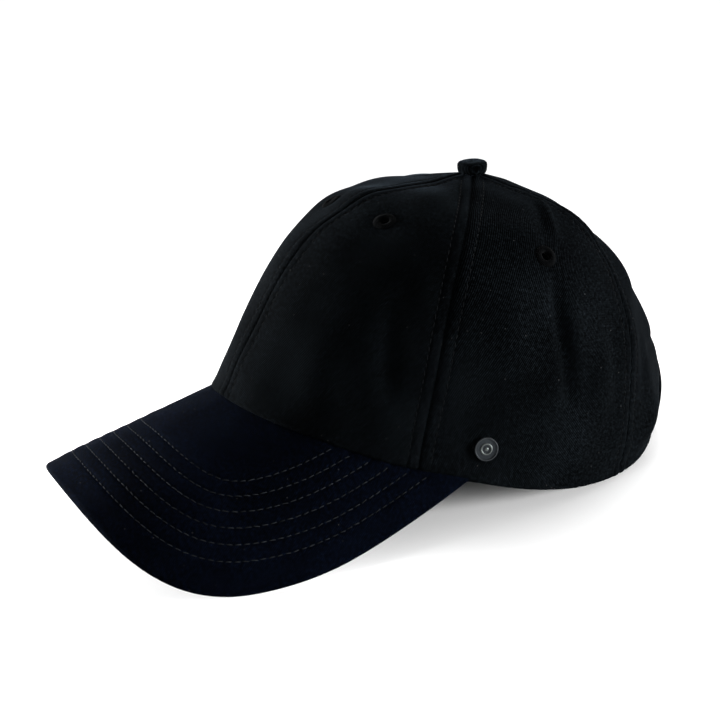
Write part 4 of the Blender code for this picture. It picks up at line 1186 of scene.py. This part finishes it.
def add_bill():
    add_bill_cloth("bill_top_cloth", under=False)
    add_bill_cloth("bill_under_cloth", under=True)
    for number in range(STITCH_ROWS):
        add_bill_stitches(number, under=False)
        add_bill_stitches(number, under=True)
    add_bill_board()


# ---- sweatband and label


def rear_share(theta):
    """0 at the front and sides, growing smoothly to 1 where the band hangs free at the back."""
    return smooth(ramp(np.degrees(np.abs(theta)), *BAND_FREE_ANGLES))


def sweatband_depth(theta):
    """Depth of the sweatband's outer face, growing towards the back."""
    return SWEATBAND_DEPTH + (SWEATBAND_REAR_DEPTH - SWEATBAND_DEPTH) * rear_share(theta)


def band_layer(theta, t, depth):
    """A layer of the sweatband. At the back it hangs free of the crown's folds."""
    return crown_layer(theta, t, depth + fold_rise(theta, t) * rear_share(theta))


def opening_angle(half_width):
    """Angle round the crown at which the rim is this far from the centre plane."""
    return math.pi - math.atan2(half_width, RIM_REAR * math.sqrt(1 - (half_width / RIM_SIDE) ** 2))


def inner_rows(theta, heights):
    """Angles and places of rows at heights above the rim."""
    base = rim_height(theta)
    t = np.array([place_at_height(theta, base + height) for height in heights])
    return theta + 0 * t, t


def edge_fill(place, length, radius):
    """Half thickness over a sheet whose two edges are round: 1 inside, 0 at the edge."""
    return np.sqrt(1 - ramp(np.minimum(place, length - place), radius, 0) ** 2)


def add_sweatband():
    """Soft band inside the rim, its lower edge folded, with a skirt over the bill's inner edge."""
    end = opening_angle(ARCH_HALF_WIDTH + 2.5 * MM)
    theta = np.linspace(-end, end, 361)
    steps = np.array([0, 0.08, 0.25, 0.6, *range(1, 32), 31.4, 31.75, 31.92, 32])
    heights = steps / steps[-1] * (SWEATBAND_HEIGHT - GAP)
    angle, t = inner_rows(theta, heights + GAP)
    rise = heights[:, None]
    fill = edge_fill(rise, SWEATBAND_HEIGHT - GAP, 0.7 * MM)
    pucker = np.sin(theta * 58 + 2 * np.sin(theta * 7)) * (1 + 0.6 * np.sin(theta * 13))
    pucker = pucker * 0.2 * MM * (1 - 0.8 * rear_share(theta))
    pucker = pucker * np.sin(ramp(rise, 0, SWEATBAND_HEIGHT) * math.pi)
    seams = sum(bell(rise - place, 0.5 * MM) for place in BAND_STITCHES)
    middle = sweatband_depth(theta) + SWEATBAND_THICKNESS / 2 + pucker
    half = SWEATBAND_THICKNESS / 2 * (0.08 + 0.92 * fill)
    front = band_layer(angle, t, middle - half)
    back = band_layer(angle, t, middle + half - 0.35 * MM * seams)
    along_bill = ramp(np.degrees(np.abs(theta)), BILL_HALF_ANGLE + 10, BILL_HALF_ANGLE + 2)
    skirt = np.maximum(SWEATBAND_SKIRT * along_bill - rim_sag(np.abs(theta)), 0)
    for grid in (front, back):
        grid[..., 2] -= skirt * ramp(rise, 12 * MM, 0) ** 2
    made = sheet("sweatband_cloth", front, back, flat_pattern(back), [band_twill])
    settle(made, "sweatband_cotton", "sweatband")
    runs = []
    for height in BAND_STITCHES:
        row = int(np.argmin(np.abs(heights - height)))
        runs.append((back[row], -crown_normal(angle[row], t[row])))
    sew("sweatband_stitches", runs, seam_thread, length=2.8 * MM, gap=1.0 * MM)


def add_care_label():
    """Blank satin label with its top sewn to the sweatband and its lower end curling free."""
    theta = np.radians(np.linspace(*LABEL_ANGLES, 25))
    heights = np.linspace(*LABEL_HEIGHTS, 33)
    angle, t = inner_rows(theta, heights)
    free = ramp(heights[:, None], *LABEL_HEIGHTS[::-1])
    curl = 1.6 * MM * free**3 + 0.25 * MM * np.sin(np.linspace(0, 9, 25)) * free
    depth = sweatband_depth(theta) + SWEATBAND_THICKNESS + 0.15 * MM + curl
    front = band_layer(angle, t, depth)
    back = band_layer(angle, t, depth + LABEL_THICKNESS)
    made = sheet("care_label_satin", front, back, flat_pattern(back), [label_satin])
    settle(made, "label_cloth", "care_label")
    top_row = (-3, slice(1, -1))
    run = (back[top_row], -crown_normal(angle[top_row], t[top_row]))
    sew("care_label_stitches", [run], seam_thread)


# ---- rear opening and strap


def arch_layer(angle, outwards, depth):
    """Points round the rear opening's edge: outwards along the crown, at a depth under its face."""
    x = (ARCH_HALF_WIDTH + outwards) * np.cos(angle)
    height = (ARCH_HEIGHT + outwards) * np.sin(angle)
    y = RIM_REAR * np.sqrt(1 - (x / RIM_SIDE) ** 2)
    theta = math.pi - np.arctan2(x, y)
    t = place_at_height(theta, height)
    return crown_layer(theta, t, depth), crown_normal(theta, t)


def add_rear_binding():
    """Bias strip folded round the opening's edge and stitched through."""
    start = math.asin(0.4 * MM / ARCH_HEIGHT)
    angle = np.linspace(start, math.pi - start, 141)
    turn = np.linspace(-math.pi / 2, math.pi / 2, 9)[1:-1]
    bend = CLOTH / 2 + BINDING_GAP + BINDING_THICKNESS
    leg = np.array([0, 0.6, 1.0, 1.2, 1.5, 2.4, 3.4, 4.2, 5.0]) * MM
    rise = np.array([-0.35, 0.05, -0.22, -0.22, 0.05, 0.12, 0.08, 0, 0]) * MM
    outwards = np.concatenate([BINDING_WIDTH - leg, -bend * np.cos(turn), (BINDING_WIDTH - leg)[::-1]])
    lift = np.concatenate([bend + rise, -bend * np.sin(turn), (-bend - rise)[::-1]])
    core = np.concatenate([-0.5 + 0 * leg, 0 * turn, 0.5 + 0 * leg]) * MM
    shown, hidden = [], []
    for out, up, fill in zip(outwards, lift, core):
        shown.append(arch_layer(angle, out, CLOTH / 2 - up)[0])
        hidden.append(arch_layer(angle, max(out, 0.1 * MM), CLOTH / 2 - up - fill)[0])
    shown, hidden = np.array(shown), np.array(hidden)
    made = sheet("rear_binding_strip", shown, hidden, flat_pattern(shown), [bias_twill])
    settle(made, "binding_twill", "rear_binding")
    runs = []
    for depth, side in ((-0.45 * MM, 1), (CLOTH + 0.45 * MM, -1)):
        line, outward = arch_layer(angle, BINDING_WIDTH - 1.1 * MM, depth)
        runs.append((line, side * outward))
    sew("rear_binding_stitches", runs, seam_thread)


def strap_point(along, up, offset):
    """Point of the strap's cone: along its curve, up its width and outwards."""
    lean, arc = math.radians(STRAP_LEAN), along / STRAP_RADIUS
    radius = STRAP_RADIUS + up * math.sin(lean) + offset * math.cos(lean)
    height = STRAP_MID_HEIGHT + up * math.cos(lean) - offset * math.sin(lean)
    return np.stack([radius * np.sin(arc), STRAP_AXIS_Y + radius * np.cos(arc), height], -1)


def add_strap(name, path, body):
    """A strap that follows a path of (along, outwards) places, hemmed and stitched at its edges."""
    path = np.array(path)
    place = lengths_along(path)
    at = np.linspace(0, place[-1], int(place[-1] / (0.8 * MM)))
    path = np.stack([np.interp(at, place, path[:, k]) for k in (0, 1)], -1)
    ahead = unit(np.gradient(path, axis=0))
    aside = np.stack([-ahead[:, 1], ahead[:, 0]], -1)
    half_width = STRAP_WIDTH / 2
    inside = np.linspace(-0.95, 0.95, 39) * half_width
    brink = np.array([0.965, 0.985, 0.996, 1.0]) * half_width
    up = np.concatenate([-brink[::-1], inside, brink])
    fill = edge_fill(half_width - np.abs(up), 1.0, STRAP_THICKNESS / 2)[:, None]
    ends = edge_fill(at, place[-1], STRAP_THICKNESS / 2)
    seam = bell(np.abs(up) - STRAP_STITCH, 0.5 * MM)[:, None]
    half = STRAP_THICKNESS / 2 * (0.06 + 0.94 * fill * ends) - 0.16 * MM * seam
    grids = []
    for side in (1, -1):
        along = path[:, 0] + side * aside[:, 0] * half
        offset = path[:, 1] + side * aside[:, 1] * half
        grids.append(strap_point(along, up[:, None] + 0 * along, offset))
    made = sheet(f"{name}_cloth", grids[0], grids[1], flat_pattern(grids[0]), [strap_twill])
    settle(made, "strap_twill", name, body=body)
    runs = []
    for grid, other in (grids, grids[::-1]):
        for side in (-1, 1):
            row = int(np.argmin(np.abs(up - side * STRAP_STITCH)))
            runs.append((grid[row, 3:-3], unit(grid[row, 3:-3] - other[row, 3:-3])))
    sew(f"{name}_stitches", runs, seam_thread, body=body)


def add_straps():
    """The long strap slides in the buckle. The short one loops round the buckle's bar."""
    add_strap("strap_long", [(STRAP_FREE_END, 0), (STRAP_SEWN_END, 0)], "adjusting_strap")
    along, outwards = STRAP_BAR
    radius = STRAP_BAR_RADIUS + GAP + STRAP_THICKNESS / 2
    loop = [
        (along - radius * math.sin(turn), outwards - radius * math.cos(turn))
        for turn in np.linspace(0, math.pi, 15)
    ]
    run_back = [
        (along + 3 * MM, outwards + 0.9 * radius),
        (along + 7 * MM, outwards + 0.15 * MM),
        (along + 14 * MM, SHORT_STRAP_OFFSET + 1.1 * MM),
    ]
    path = [(SHORT_STRAP_END, SHORT_STRAP_OFFSET), *loop, *run_back]
    add_strap("strap_short", path, "cap")


# ---- metal pieces


def polished(node, finish, slot, body="cap", width=0.22 * MM):
    """A node's shape with its edges rounded."""
    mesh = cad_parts[node].data.copy()
    mesh.materials.clear()
    made = bmesh.new()
    made.from_mesh(mesh)
    bmesh.ops.remove_doubles(made, verts=made.verts, dist=1e-6)
    bmesh.ops.dissolve_limit(made, angle_limit=math.radians(2), verts=made.verts, edges=made.edges)
    made.to_mesh(mesh)
    made.free()
    piece = add_object(f"{node}_finished", mesh, [finish])
    bevel = piece.modifiers.new("Edges", "BEVEL")
    bevel.width = width
    bevel.segments = 3
    bevel.limit_method = "ANGLE"
    bevel.angle_limit = math.radians(40)
    apply_modifiers(piece)
    piece.data.shade_smooth()
    piece.data.set_sharp_from_angle(angle=math.radians(35))
    settle(piece, slot, node, body=body)


def add_buckle():
    polished("buckle_frame", buckle_metal, "buckle_metal")
    polished("buckle_pin", buckle_metal, "buckle_metal", width=0.12 * MM)
    polished("buckle_lever", buckle_metal, "buckle_metal", body="clasp_lever")
    for node in ("top_button_rivet", "top_button_washer"):
        polished(node, dark_metal, "button_metal", width=0.12 * MM)
    polished("side_badge_washer", dark_metal, "badge_metal", width=0.08 * MM)


# ---- stage


def add_floor():
    mesh = bpy.data.meshes.new("floor")
    reach = 40.0
    corners = [(-reach, -reach, 0), (reach, -reach, 0), (reach, reach, 0), (-reach, reach, 0)]
    mesh.from_pydata(corners, [], [(0, 1, 2, 3)])
    nodes = Nodes("floor_paint")
    grain = nodes.noise(position(nodes), 40.0)
    nodes.surface(
        Base_Color=nodes.mix(grain, shade((0.9, 0.9, 0.9)), shade((0.93, 0.93, 0.93))),
        Roughness=0.9, Specular_IOR_Level=0.1,
    )
    floor = add_object("floor", mesh, [nodes.material])
    floor.location.z = -0.05 * MM


def add_light(name, kind, place, strength, size):
    """A softbox or a wide sun that shines from a place towards the cap."""
    data = bpy.data.lights.new(name, kind)
    data.energy = strength
    if kind == "SUN":
        data.angle = math.radians(size)
    else:
        data.shape = "DISK"
        data.size = size
        data.spread = math.radians(70)
    lamp = bpy.data.objects.new(name, data)
    lamp.location = place
    aim = Vector(place) - Vector((0, 0, 0.05))
    lamp.rotation_euler = aim.to_track_quat("Z", "Y").to_euler()
    bpy.context.scene.collection.objects.link(lamp)


def add_lights():
    world = bpy.data.worlds.new("studio")
    world.use_nodes = True
    backdrop = world.node_tree.nodes["Background"]
    backdrop.inputs["Color"].default_value = (1, 1, 1, 1)
    backdrop.inputs["Strength"].default_value = 0.5
    bpy.context.scene.world = world
    add_light("overhead", "SUN", (-0.60, 0.33, 1.15), 2.27, 50.0)
    add_light("front_softbox", "AREA", (-0.67, -0.74, 0.16), 8.5, 0.28)
    add_light("rear_softbox", "AREA", (0.71, 0.71, 0.16), 4.6, 0.28)


def add_camera():
    """Camera at the wearer's left front, a little above the cap."""
    azimuth, elevation, roll = (math.radians(angle) for angle in (61.37, 20.83, -3.01))
    target, distance = Vector((0.6, -40.5, 53.2)) * MM, 586.4 * MM
    right = Vector((math.cos(azimuth), math.sin(azimuth), 0))
    back = Vector(
        (
            math.sin(azimuth) * math.cos(elevation),
            -math.cos(azimuth) * math.cos(elevation),
            math.sin(elevation),
        )
    )
    up = back.cross(right)
    across = right * math.cos(roll) + up * math.sin(roll)
    upward = up * math.cos(roll) - right * math.sin(roll)
    data = bpy.data.cameras.new("camera")
    data.lens = 67.4
    data.sensor_width = 36.0
    camera = bpy.data.objects.new("camera", data)
    turn = Matrix((across, upward, back)).transposed().to_4x4()
    camera.matrix_world = Matrix.Translation(target + back * distance) @ turn
    bpy.context.scene.collection.objects.link(camera)
    bpy.context.scene.camera = camera


def set_view():
    view = bpy.context.scene.view_settings
    view.view_transform = "Standard"
    view.look = "None"


add_panels()
add_seam_tapes()
add_top_button()
add_side_badge()
add_bill()
add_sweatband()
add_care_label()
add_rear_binding()
add_straps()
add_buckle()
add_floor()
add_lights()
add_camera()
set_view()
